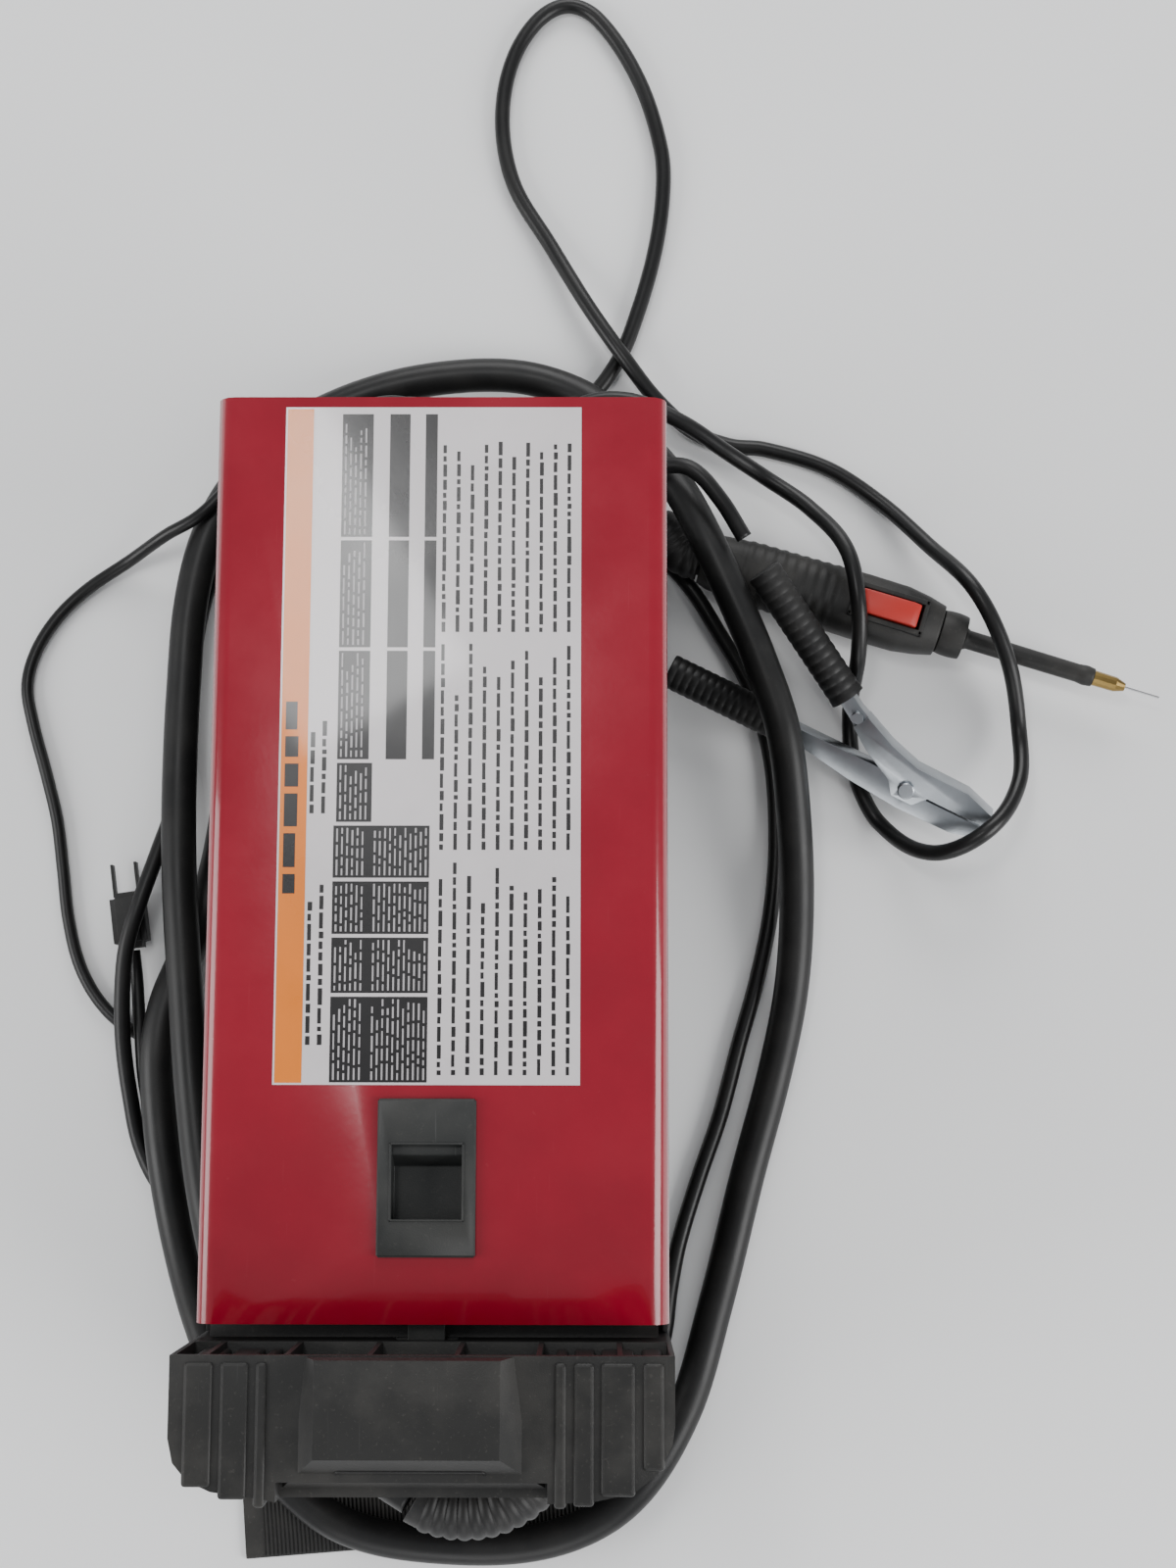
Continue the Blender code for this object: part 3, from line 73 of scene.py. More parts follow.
WORK_LEAD_ROUTE: tuple[Point, ...] = (
    (-0.02, -0.2257, 0.06), (-0.0199, -0.235, 0.0595), (-0.018, -0.247, 0.05), (-0.01, -0.258, 0.03),
    (0.012, -0.262, 0.013), (0.04, -0.257, 0.0086), (0.066, -0.245, 0.0084), (0.088, -0.226, 0.005),
    (0.1, -0.2, 0.0046), (0.104, -0.174, 0.0046), (0.109, -0.149, 0.0046), (0.12, -0.114, 0.0046),
    (0.131, -0.083, 0.0046), (0.142, -0.043, 0.0046), (0.151, -0.012, 0.0046), (0.159, 0.025, 0.0046),
    (0.1625, 0.065, 0.0046), (0.16, 0.11, 0.0046), (0.149, 0.149, 0.0046), (0.131, 0.182, 0.0046),
    (0.116, 0.206, 0.0046), (0.099, 0.2235, 0.0046), (0.079, 0.2335, 0.0046), (0.05, 0.2375, 0.0046),
    (0, 0.2375, 0.0046), (-0.048, 0.2375, 0.0046), (-0.076, 0.2365, 0.0046), (-0.0975, 0.229, 0.0046),
    (-0.107, 0.211, 0.0046), (-0.1095, 0.19, 0.0046), (-0.1065, 0.15, 0.0046), (-0.104, 0.1, 0.0046),
    (-0.103, 0.02, 0.0046), (-0.103, -0.05, 0.0046), (-0.105, -0.088, 0.0046), (-0.114, -0.115, 0.0046),
    (-0.13, -0.131, 0.0046), (-0.149, -0.133, 0.0046), (-0.166, -0.121, 0.0046),
    (-0.178, -0.099, 0.005), (-0.1835, -0.073, 0.009), (-0.187, -0.045, 0.014), (-0.187, -0.018, 0.02),
    (-0.1845, 0.006, 0.0245), (-0.178, 0.03, 0.025), (-0.1705, 0.056, 0.02), (-0.164, 0.083, 0.011),
    (-0.16, 0.115, 0.005), (-0.1575, 0.16, 0.0046), (-0.15, 0.204, 0.0046), (-0.134, 0.243, 0.0046),
    (-0.105, 0.271, 0.0046), (-0.06, 0.283, 0.0046), (-0.01, 0.286, 0.0046), (0.03, 0.294, 0.0046),
    (0.06, 0.313, 0.0046), (0.076, 0.334, 0.0046), (0.086, 0.358, 0.0046), (0.097, 0.397, 0.0046),
    (0.102, 0.432, 0.0046), (0.101, 0.46, 0.0046), (0.088, 0.502, 0.0046), (0.065, 0.538, 0.0046),
    (0.047, 0.546, 0.0046), (0.029, 0.535, 0.0046), (0.015, 0.508, 0.0046), (0.011, 0.473, 0.0046),
    (0.018, 0.438, 0.0046), (0.038, 0.403, 0.006), (0.06, 0.364, 0.012), (0.079, 0.335, 0.0146),
    (0.098, 0.311, 0.01), (0.118, 0.294, 0.006), (0.139, 0.286, 0.0046), (0.158, 0.284, 0.0046),
    (0.193, 0.273, 0.0046), (0.222, 0.253, 0.006), (0.246, 0.227, 0.016), (0.268, 0.196, 0.038),
    (0.285, 0.16, 0.033), (0.293, 0.125, 0.018), (0.29, 0.093, 0.029), (0.27, 0.066, 0.0425),
    (0.243, 0.056, 0.029), (0.219, 0.074, 0.006), (0.206, 0.101, 0.0052), (0.203, 0.135, 0.009),
    (0.205, 0.162, 0.035), (0.204, 0.188, 0.047), (0.198, 0.218, 0.0445), (0.18, 0.244, 0.03),
    (0.157, 0.262, 0.025), (0.135, 0.274, 0.034), (0.112, 0.287, 0.043), (0.085, 0.299, 0.044),
    (0.06, 0.299, 0.042), (0.04, 0.286, 0.04), (0.034, 0.265, 0.039), (0.044, 0.246, 0.04),
    (0.064, 0.242, 0.043), (0.084, 0.253, 0.049), (0.1, 0.259, 0.057), (0.115, 0.256, 0.063),
    (0.13, 0.24, 0.0625), (0.143, 0.22, 0.058),
)
MAINS_ROUTE_START: tuple[Point, ...] = (
    (-0.055, 0.2607, 0.075), (-0.0548, 0.268, 0.0746), (-0.05, 0.28, 0.071), (-0.037, 0.2915, 0.0635),
    (-0.023, 0.2905, 0.0575), (-0.0145, 0.281, 0.0535),
)
MAINS_ROUTE_END: tuple[Point, ...] = (
    (-0.0835, 0.2745, 0.033), (-0.0895, 0.288, 0.033), (-0.1035, 0.289, 0.033), (-0.12, 0.2745, 0.033),
    (-0.135, 0.2545, 0.0328), (-0.151, 0.2385, 0.032), (-0.17, 0.23, 0.024), (-0.193, 0.219, 0.009),
    (-0.217, 0.204, 0.0042), (-0.233, 0.188, 0.0036), (-0.244, 0.169, 0.0036), (-0.248, 0.15, 0.0036),
    (-0.244, 0.129, 0.0036), (-0.236, 0.102, 0.0036), (-0.229, 0.076, 0.0036), (-0.225, 0.05, 0.0036),
    (-0.221, 0.022, 0.0036), (-0.214, -0.003, 0.0036), (-0.203, -0.022, 0.0036), (-0.188, -0.036, 0.0037),
    (-0.169, -0.045, 0.0037), (-0.15, -0.055, 0.0037), (-0.137, -0.07, 0.0037), (-0.1335, -0.088, 0.0037),
    (-0.14, -0.102, 0.0037), (-0.153, -0.108, 0.0037), (-0.165, -0.102, 0.0037), (-0.172, -0.086, 0.0045),
    (-0.1765, -0.064, 0.0085), (-0.1785, -0.041, 0.011), (-0.18, -0.025, 0.0108), (-0.1815, -0.01, 0.0102),
    (-0.1835, 0.0045, 0.01),
)

GUN_CABLE_DIAMETER = 0.0185
WORK_LEAD_DIAMETER = 0.0086
MAINS_DIAMETER = 0.0068
GUN_REAR = np.array((0.123, 0.218, 0.019))
GUN_HEADING = math.radians(-17.3)
CLAMP_PIVOT = np.array((0.2315, 0.0925, 0.022))
CLAMP_HEADING = math.radians(153.6)
CLAMP_TILT = math.radians(26)
CLAMP_SPREAD = math.radians(31)
COIL_CENTRE = np.array((-0.045, 0.264, 0.0395))
COIL_RADIUS = 0.034


# ------------------------------------------------------------------ finishes
@dataclass(frozen=True)
class Finish:
    """How a surface looks.

    Args:
        name: the material's name.
        colour: linear base colour.
        roughness: Principled roughness of the clean surface.
        metallic: 1 for bare metal.
        coat: strength of a clear gloss layer.
        dust: how much pale dust the upper faces hold, 0 to 1.
        grain: height of the fine moulded texture, in bump strength.
        grain_scale: fineness of that texture.
        mottle: how much the colour drifts over broad patches.
        scratch: share of fine bright scratches.
    """

    name: str
    colour: tuple[float, float, float]
    roughness: float = 0.5
    metallic: float = 0.0
    coat: float = 0.0
    dust: float = 0.1
    grain: float = 0.0
    grain_scale: float = 900.0
    mottle: float = 0.15
    scratch: float = 0.0


class Look(Enum):
    """The finishes that the pieces choose from."""

    RED_PAINT = Finish("red_paint", (0.265, 0.0016, 0.0150), 0.22, 0.0, 0.55, 0.012, 0.05, 420.0, 0.08, 0.06)
    BLACK_PAINT = Finish("black_paint", (0.010, 0.010, 0.010), 0.42, 0.0, 0.0, 0.06, 0.10, 1400.0, 0.12, 0.04)
    MOULDING = Finish(
        "black_moulding", (0.0105, 0.0105, 0.0102), 0.50, 0.0, 0.0, 0.10, 0.14, 1500.0, 0.20, 0.10,
    )
    LATCH = Finish("latch_plastic", (0.0190, 0.0205, 0.0200), 0.50, 0.0, 0.0, 0.08, 0.12, 1500.0, 0.15, 0.20)
    RUBBER = Finish("boot_rubber", (0.0075, 0.0075, 0.0078), 0.48, 0.0, 0.0, 0.06, 0.08, 1100.0, 0.15, 0.0)
    JACKET = Finish("cable_jacket", (0.0058, 0.0058, 0.0060), 0.42, 0.0, 0.0, 0.035, 0.06, 800.0, 0.20, 0.03)
    LEAD = Finish("lead_jacket", (0.0050, 0.0050, 0.0053), 0.38, 0.0, 0.0, 0.03, 0.05, 900.0, 0.15, 0.03)
    MAT = Finish("mat_rubber", (0.0095, 0.0095, 0.0095), 0.72, 0.0, 0.0, 0.12, 0.15, 1200.0, 0.20, 0.0)
    ZINC = Finish("zinc_plate", (0.46, 0.49, 0.52), 0.33, 1.0, 0.0, 0.06, 0.05, 500.0, 0.25, 0.10)
    BRASS = Finish("tarnished_brass", (0.40, 0.27, 0.09), 0.36, 1.0, 0.0, 0.06, 0.04, 700.0, 0.30, 0.05)
    STEEL = Finish("bare_steel", (0.42, 0.42, 0.43), 0.34, 1.0, 0.0, 0.03, 0.03, 700.0, 0.15, 0.0)
    TRIGGER = Finish("trigger_red", (0.50, 0.030, 0.022), 0.42, 0.0, 0.0, 0.05, 0.05, 1200.0, 0.10, 0.08)
    ALUMINIUM = Finish("aluminium", (0.56, 0.57, 0.58), 0.36, 1.0, 0.0, 0.03, 0.03, 600.0, 0.10, 0.05)
    BOARD = Finish("circuit_board", (0.010, 0.085, 0.035), 0.38, 0.0, 0.0, 0.05, 0.03, 900.0, 0.10, 0.0)
    COPPER = Finish("lacquered_copper", (0.42, 0.16, 0.06), 0.34, 1.0, 0.0, 0.03, 0.05, 900.0, 0.15, 0.0)
    CORE = Finish("core_steel", (0.10, 0.10, 0.11), 0.50, 0.6, 0.0, 0.05, 0.10, 700.0, 0.15, 0.0)
    WINDING = Finish("wound_wire", (0.25, 0.24, 0.22), 0.40, 1.0, 0.0, 0.03, 0.05, 900.0, 0.10, 0.0)
    LABEL_WHITE = Finish("label_white", (0.66, 0.62, 0.63), 0.30, 0.0, 0.35, 0.0, 0.02, 500.0, 0.06, 0.0)
    LABEL_BLACK = Finish("label_black", (0.011, 0.010, 0.0105), 0.30, 0.0, 0.35, 0.0, 0.02, 500.0, 0.10, 0.0)
    LABEL_ORANGE = Finish("label_orange", (0.78, 0.20, 0.010), 0.30, 0.0, 0.35, 0.0, 0.02, 500.0, 0.06, 0.0)
    LABEL_GREY = Finish("label_print", (0.42, 0.40, 0.41), 0.35, 0.0, 0.2, 0.0, 0.0, 500.0, 0.05, 0.0)


def _new_group(name: str, inputs: list[tuple[str, str, float]], outputs: list[tuple[str, str]]):
    """Start a shader node group.

    Args:
        name: the group's name.
        inputs: (name, socket type, default) for each input.
        outputs: (name, socket type) for each output.

    Returns:
        The group, its input node and its output node.
    """
    group = bpy.data.node_groups.new(name, "ShaderNodeTree")
    for label, kind, default in inputs:
        socket = group.interface.new_socket(label, in_out="INPUT", socket_type=kind)
        if kind == "NodeSocketFloat":
            socket.default_value = default
    for label, kind in outputs:
        group.interface.new_socket(label, in_out="OUTPUT", socket_type=kind)
    return group, group.nodes.new("NodeGroupInput"), group.nodes.new("NodeGroupOutput")


def _math(tree, operation: str, first, second=None, third=None, clamp: bool = False):
    """Add a math node to a tree; each operand is a socket or a number. Returns its output socket."""
    node = tree.nodes.new("ShaderNodeMath")
    node.operation = operation
    node.use_clamp = clamp
    for i, value in enumerate((first, second, third)):
        if value is None:
            continue
        if isinstance(value, (int, float)):
            node.inputs[i].default_value = value
        else:
            tree.links.new(value, node.inputs[i])
    return node.outputs[0]


def _noise(tree, vector, scale, detail: float = 4.0, roughness: float = 0.55):
    """Add a noise texture; scale is a socket or a number. Returns its value socket."""
    node = tree.nodes.new("ShaderNodeTexNoise")
    node.inputs["Detail"].default_value = detail
    node.inputs["Roughness"].default_value = roughness
    tree.links.new(vector, node.inputs["Vector"])
    if isinstance(scale, (int, float)):
        node.inputs["Scale"].default_value = scale
    else:
        tree.links.new(scale, node.inputs["Scale"])
    return node.outputs["Fac"]


def _ramp(tree, value, low: float, high: float):
    """Map a value from low..high to 0..1, smoothly, and hold it there outside. Returns the socket."""
    node = tree.nodes.new("ShaderNodeMapRange")
    node.interpolation_type = "SMOOTHSTEP"
    node.inputs["From Min"].default_value = low
    node.inputs["From Max"].default_value = high
    tree.links.new(value, node.inputs["Value"])
    return node.outputs["Result"]


def dust_group() -> bpy.types.NodeTree:
    """Group that gives the dust mask: it settles on faces that look up, in clumps with specks.

    Returns:
        The node group, with inputs Vector and Amount and the output Mask.
    """
    found = bpy.data.node_groups.get("Settled dust")
    if found:
        return found
    group, start, end = _new_group(
        "Settled dust", [("Vector", "NodeSocketVector", 0.0), ("Amount", "NodeSocketFloat", 0.2)],
        [("Mask", "NodeSocketFloat")],
    )
    vector = start.outputs["Vector"]
    geometry = group.nodes.new("ShaderNodeNewGeometry")
    split = group.nodes.new("ShaderNodeSeparateXYZ")
    group.links.new(geometry.outputs["Normal"], split.inputs[0])
    up = _ramp(group, split.outputs["Z"], -0.1, 0.9)
    clumps = _ramp(group, _noise(group, vector, 38.0, 5.0), 0.38, 0.72)
    specks = _ramp(group, _noise(group, vector, 620.0, 2.0, 0.7), 0.60, 0.74)
    body = _math(group, "MULTIPLY_ADD", clumps, 0.75, 0.18)
    mixed = _math(group, "ADD", body, _math(group, "MULTIPLY", specks, 0.8))
    masked = _math(group, "MULTIPLY", mixed, _math(group, "MULTIPLY_ADD", up, 0.85, 0.15))
    final = _math(group, "MULTIPLY", masked, start.outputs["Amount"], clamp=True)
    group.links.new(final, end.inputs["Mask"])
    return group


def grain_group() -> bpy.types.NodeTree:
    """Group that gives surface height: fine moulded grain over a slow swell.

    Returns:
        The node group, with inputs Vector and Scale and the output Height.
    """
    found = bpy.data.node_groups.get("Moulded grain")
    if found:
        return found
    group, start, end = _new_group(
        "Moulded grain", [("Vector", "NodeSocketVector", 0.0), ("Scale", "NodeSocketFloat", 900.0)],
        [("Height", "NodeSocketFloat")],
    )
    fine = _noise(group, start.outputs["Vector"], start.outputs["Scale"], 2.0, 0.5)
    swell = _noise(group, start.outputs["Vector"], 26.0, 2.0, 0.4)
    group.links.new(_math(group, "MULTIPLY_ADD", swell, 0.8, fine), end.inputs["Height"])
    return group


def wear_group() -> bpy.types.NodeTree:
    """Group that gives two masks: broad mottle, and hairline scratches with small chips.

    Returns:
        The node group, with inputs Vector and Scratch and the outputs Mottle and Scratches.
    """
    found = bpy.data.node_groups.get("Handling wear")
    if found:
        return found
    group, start, end = _new_group(
        "Handling wear", [("Vector", "NodeSocketVector", 0.0), ("Scratch", "NodeSocketFloat", 0.1)],
        [("Mottle", "NodeSocketFloat"), ("Scratches", "NodeSocketFloat")],
    )
    vector = start.outputs["Vector"]
    mottle = _ramp(group, _noise(group, vector, 14.0, 5.0, 0.6), 0.30, 0.70)
    stretch = group.nodes.new("ShaderNodeMapping")
    stretch.inputs["Scale"].default_value = (900.0, 28.0, 900.0)
    stretch.inputs["Rotation"].default_value = (0.0, 0.0, 0.5)
    group.links.new(vector, stretch.inputs["Vector"])
    hair = _ramp(group, _noise(group, stretch.outputs["Vector"], 1.0, 1.0), 0.73, 0.80)
    chips = _ramp(group, _noise(group, vector, 240.0, 3.0, 0.6), 0.72, 0.76)
    both = _math(group, "MAXIMUM", hair, chips)
    group.links.new(mottle, end.inputs["Mottle"])
    marks = _math(group, "MULTIPLY", both, start.outputs["Scratch"], clamp=True)
    group.links.new(marks, end.inputs["Scratches"])
    return group


def _use(tree, group, **values):
    """Add a group node to a material; each value is a socket to link or a number to set."""
    node = tree.nodes.new("ShaderNodeGroup")
    node.node_tree = group
    for label, value in values.items():
        if isinstance(value, (int, float)):
            node.inputs[label].default_value = value
        else:
            tree.links.new(value, node.inputs[label])
    return node


def _blend(tree, share, first, second):
    """Mix two colours; each is a socket or a colour. Returns the colour socket."""
    node = tree.nodes.new("ShaderNodeMix")
    node.data_type = "RGBA"
    tree.links.new(share, node.inputs["Factor"])
    for socket, value in ((node.inputs[6], first), (node.inputs[7], second)):
        if isinstance(value, tuple):
            socket.default_value = (*value, 1.0)
        else:
            tree.links.new(value, socket)
    return node.outputs[2]


def material(look: Look) -> bpy.types.Material:
    """The material of a finish, made once.

    Args:
        look: which finish.

    Returns:
        The material, with its dust, grain and wear.
    """
    finish: Finish = look.value
    title = finish.name + "_finish"
    found = bpy.data.materials.get(title)
    if found:
        return found
    made = bpy.data.materials.new(title)
    made.use_nodes = True
    tree = made.node_tree
    shader = tree.nodes["Principled BSDF"]
    vector = tree.nodes.new("ShaderNodeTexCoord").outputs["Object"]
    wear = _use(tree, wear_group(), Vector=vector, Scratch=finish.scratch)
    dust = _use(tree, dust_group(), Vector=vector, Amount=finish.dust)
    dark = tuple(channel * (1.0 - finish.mottle) for channel in finish.colour)
    light = tuple(min(channel * (1.0 + finish.mottle), 1.0) for channel in finish.colour)
    colour = _blend(tree, wear.outputs["Mottle"], dark, light)
    scraped = tuple(min(channel * 1.6 + 0.10, 1.0) for channel in finish.colour)
    colour = _blend(tree, wear.outputs["Scratches"], colour, scraped)
    colour = _blend(tree, dust.outputs["Mask"], colour, (0.22, 0.205, 0.18))
    tree.links.new(colour, shader.inputs["Base Color"])
    rough = _math(tree, "MULTIPLY_ADD", wear.outputs["Mottle"], 0.10, finish.roughness - 0.05)
    rough = _math(tree, "MULTIPLY_ADD", dust.outputs["Mask"], 0.5, rough, clamp=True)
    tree.links.new(rough, shader.inputs["Roughness"])
    shader.inputs["Metallic"].default_value = finish.metallic
    shader.inputs["Specular IOR Level"].default_value = 0.5 if finish.metallic or finish.coat else 0.40
    shader.inputs["Coat Weight"].default_value = finish.coat
    shader.inputs["Coat Roughness"].default_value = 0.06
    if finish.grain:
        grain = _use(tree, grain_group(), Vector=vector, Scale=finish.grain_scale)
        bump = tree.nodes.new("ShaderNodeBump")
        bump.inputs["Strength"].default_value = finish.grain
        bump.inputs["Distance"].default_value = 0.0006
        tree.links.new(grain.outputs["Height"], bump.inputs["Height"])
        tree.links.new(bump.outputs["Normal"], shader.inputs["Normal"])
    return made


# ------------------------------------------------------------------ surfaces
def mesh_object(
    name: str, points: np.ndarray, quads: np.ndarray, look: Look, smooth: bool = True,
) -> bpy.types.Object:
    """Make an object from arrays.

    Args:
        name: the object's name.
        points: (n, 3) vertex positions in metres.
        quads: (m, 4) or (m, 3) vertex indices.
        look: its finish.
        smooth: whether faces are shaded smooth.

    Returns:
        The linked object.
    """
    mesh = bpy.data.meshes.new(name)
    mesh.from_pydata(points.astype(float), [], quads.astype(int).tolist())
    mesh.polygons.foreach_set("use_smooth", np.full(len(mesh.polygons), smooth))
    mesh.update()
    item = bpy.data.objects.new(name, mesh)
    bpy.context.scene.collection.objects.link(item)
    mesh.materials.append(material(look))
    return item


def ring_quads(rings: int, sides: int) -> np.ndarray:
    """Quads that join closed rings of vertices, ring after ring."""
    row = np.arange(rings - 1)[:, None] * sides
    column = np.arange(sides)[None, :]
    after = (column + 1) % sides
    return np.stack((row + column, row + after, row + sides + after, row + sides + column), -1).reshape(-1, 4)


def spline(route, spacing: float = 0.002) -> np.ndarray:
    """Points at an even spacing on a smooth curve through a route.

    Each span is the cubic 2t^3-3t^2+1, t^3-2t^2+t, 3t^2-2t^3, t^3-t^2 of its two ends and of
    its two headings, which run along the chord between the neighbours and are as long as the span.

    Args:
        route: points in metres.
        spacing: distance between the points returned.

    Returns:
        An (n, 3) array.
    """
    knots = np.asarray(route, float)
    padded = np.vstack((knots[:1], knots, knots[-1:]))
    heading = padded[2:] - padded[:-2]
    heading /= np.linalg.norm(heading, axis=1)[:, None]
    length = np.linalg.norm(np.diff(knots, axis=0), axis=1)[:, None, None]
    t = np.linspace(0.0, 1.0, 16, endpoint=False)[None, :, None]
    start, end = knots[:-1, None], knots[1:, None]
    leave, reach = heading[:-1, None] * length, heading[1:, None] * length
    fine = start * (2 * t**3 - 3 * t**2 + 1) + leave * (t**3 - 2 * t**2 + t)
    fine = fine + end * (3 * t**2 - 2 * t**3) + reach * (t**3 - t**2)
    fine = np.vstack((fine.reshape(-1, 3), knots[-1:]))
    along = np.concatenate(([0.0], np.cumsum(np.linalg.norm(np.diff(fine, axis=0), axis=1))))
    stations = np.linspace(0.0, along[-1], max(int(along[-1] / spacing), 2) + 1)
    return np.stack([np.interp(stations, along, fine[:, i]) for i in range(3)], -1)


def length_of(points: np.ndarray) -> float:
    """The length of a run of points, in metres."""
    return float(np.linalg.norm(np.diff(points, axis=0), axis=1).sum())


def sweep(
    name: str, points: np.ndarray, radii, look: Look, sides: int = 24, aspect=1.0, power: float = 2.0,
) -> bpy.types.Object:
    """A closed tube along points, with domed ends.

    At each point the section is a superellipse: its side offset is sign(cos a) |cos a|^(2/power) and its
    upward offset is sign(sin a) |sin a|^(2/power) times the aspect, both times the radius, in the
    plane across the run. The side direction is level.

    Args:
        name: the object's name.
        points: (n, 3) centreline.
        radii: one radius or one per point.
        look: its finish.
        sides: vertices around.
        aspect: height over width, one number or one per point.
        power: 2 is round, more is squarer.

    Returns:
        The object.
    """
    points = np.asarray(points, float)
    count = len(points)
    radii = np.broadcast_to(np.asarray(radii, float), (count,))
    aspect = np.broadcast_to(np.asarray(aspect, float), (count,))
    tangent = np.gradient(points, axis=0)
    tangent /= np.linalg.norm(tangent, axis=1)[:, None]
    side = np.cross(tangent, (0.0, 0.0, 1.0))
    side /= np.linalg.norm(side, axis=1)[:, None]
    rise = np.cross(side, tangent)
    angle = np.linspace(0.0, 2 * np.pi, sides, endpoint=False)
    across = np.sign(np.cos(angle)) * np.abs(np.cos(angle)) ** (2 / power)
    upward = np.sign(np.sin(angle)) * np.abs(np.sin(angle)) ** (2 / power)
    rings = points[:, None] + radii[:, None, None] * (
        side[:, None] * across[None, :, None] + rise[:, None] * upward[None, :, None] * aspect[:, None, None]
    )
    quads = ring_quads(count, sides)
    vertices = np.vstack((rings.reshape(-1, 3), points[:1], points[-1:]))
    item = mesh_object(name, vertices, quads, look)
    shape = bmesh.new()
    shape.from_mesh(item.data)
    shape.verts.ensure_lookup_table()
    first, last = count * sides, count * sides + 1
    for k in range(sides):
        after = (k + 1) % sides
        shape.faces.new([shape.verts[i] for i in (first, after, k)])
        base = (count - 1) * sides
        shape.faces.new([shape.verts[i] for i in (last, base + k, base + after)])
    bmesh.ops.recalc_face_normals(shape, faces=shape.faces)
    shape.to_mesh(item.data)
    shape.free()
    return item


def block(
    name: str, boxes, look: Look, bevel: float = 0.0006, matrix: Matrix | None = None,
) -> bpy.types.Object:
    """One object of soft-edged boxes.

    Args:
        name: the object's name.
        boxes: (low corner, high corner) pairs in metres.
        look: its finish.
        bevel: edge radius.
        matrix: optional placement applied to the vertices.

    Returns:
        The object.
    """
    shape = bmesh.new()
    for low, high in boxes:
        made = bmesh.ops.create_cube(shape, size=1.0)["verts"]
        size = Vector(high) - Vector(low)
        bmesh.ops.scale(shape, vec=size, verts=made)
        bmesh.ops.translate(shape, vec=(Vector(high) + Vector(low)) / 2, verts=made)
    if bevel:
        bmesh.ops.bevel(shape, geom=list(shape.edges), offset=bevel, segments=3, affect="EDGES", profile=0.5)
    if matrix is not None:
        bmesh.ops.transform(shape, matrix=matrix, verts=shape.verts)
    mesh = bpy.data.meshes.new(name)
    shape.to_mesh(mesh)
    shape.free()
    item = bpy.data.objects.new(name, mesh)
    bpy.context.scene.collection.objects.link(item)
    mesh.materials.append(material(look))
    return item


def soften(
    node: str, look: Look, bevel: float, body: str, name: str | None = None, angle: float = 28.0,
) -> bpy.types.Object:
    """A carried piece drawn with rounded edges in place of its hard-edged original.

    Args:
        node: the piece's node name.
        look: its finish.
        bevel: edge radius in metres.
        body: the body it rides on.
        name: the new object's name.
        angle: edges sharper than this, in degrees, are rounded.

    Returns:
        The object.
    """
    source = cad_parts[node]
    mesh = source.data.copy()
    item = bpy.data.objects.new(name or node + "_soft", mesh)
    bpy.context.scene.collection.objects.link(item)
    shape = bmesh.new()
    shape.from_mesh(mesh)
    bmesh.ops.remove_doubles(shape, verts=shape.verts, dist=0.00001)
    bmesh.ops.dissolve_limit(shape, angle_limit=math.radians(1.0), verts=shape.verts, edges=shape.edges)
    shape.to_mesh(mesh)
    shape.free()
    mesh.polygons.foreach_set("use_smooth", np.full(len(mesh.polygons), True))
    mesh.materials.clear()
    mesh.materials.append(material(look))
    rounding = item.modifiers.new("rounding", "BEVEL")
    rounding.width = bevel
    rounding.segments = 3
    rounding.limit_method = "ANGLE"
    rounding.harden_normals = True
    rounding.angle_limit = math.radians(angle)
    rounding.harden_normals = True
    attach(item, body)
    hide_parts(node)
    return item


# ------------------------------------------------------------------ cords
@dataclass
class Cords:
    """The gun cable, the work lead and the mains cord.

    Args:
        gun: points of the gun cable.
        lead: points of the work lead.
        mains: points of the mains cord, through its coil behind the case.
    """

    gun: np.ndarray = field(default_factory=lambda: spline(GUN_CABLE_ROUTE))
    lead: np.ndarray = field(default_factory=lambda: spline(WORK_LEAD_ROUTE))
    mains: np.ndarray = field(default_factory=lambda: spline(mains_route()))

    def build(self, gun: list, clamp: list, plug: list) -> None:
        """Args:
            gun: the objects on the gun cable's end; not used.
            clamp: the objects on the work lead's end; not used.
            plug: the objects on the mains cord's end; not used.
        """
        for name, points, diameter, look, nodes, end, pieces in (
            ("gun_cable_jacket", self.gun, GUN_CABLE_DIAMETER, Look.JACKET, ("gun_cable",), "tool", gun),
            ("work_lead_jacket", self.lead, WORK_LEAD_DIAMETER, Look.LEAD, ("work_lead",), "tool", clamp),
            (
                "mains_cord_jacket", self.mains, MAINS_DIAMETER, Look.LEAD,
                ("mains_cord", "mains_cord_inlet", "mains_coil"), "plug", plug,
            ),
        ):
            points[:, 2] = np.maximum(points[:, 2], diameter / 2)
            sides = 28 if diameter > 0.01 else 18
            item = sweep(name, points, diameter / 2, look, sides)
            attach(item, "machine")
            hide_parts(*nodes)
            LOG.info("%s is %.2f m long", name, length_of(points))


def mains_route() -> np.ndarray:
    """The mains cord's route: in nearly two and a half falling turns, then out over the floor.

    The coil is a helix of constant radius whose height falls evenly with the angle.
    """
    angle = np.radians(np.linspace(-5.0, -885.0, 31))
    coil = np.stack((
        COIL_CENTRE[0] + COIL_RADIUS * np.cos(angle),
        COIL_CENTRE[1] + COIL_RADIUS * np.sin(angle),
        np.linspace(0.0525, 0.0335, len(angle)),
    ), -1)
    return np.vstack((MAINS_ROUTE_START, coil, MAINS_ROUTE_END))


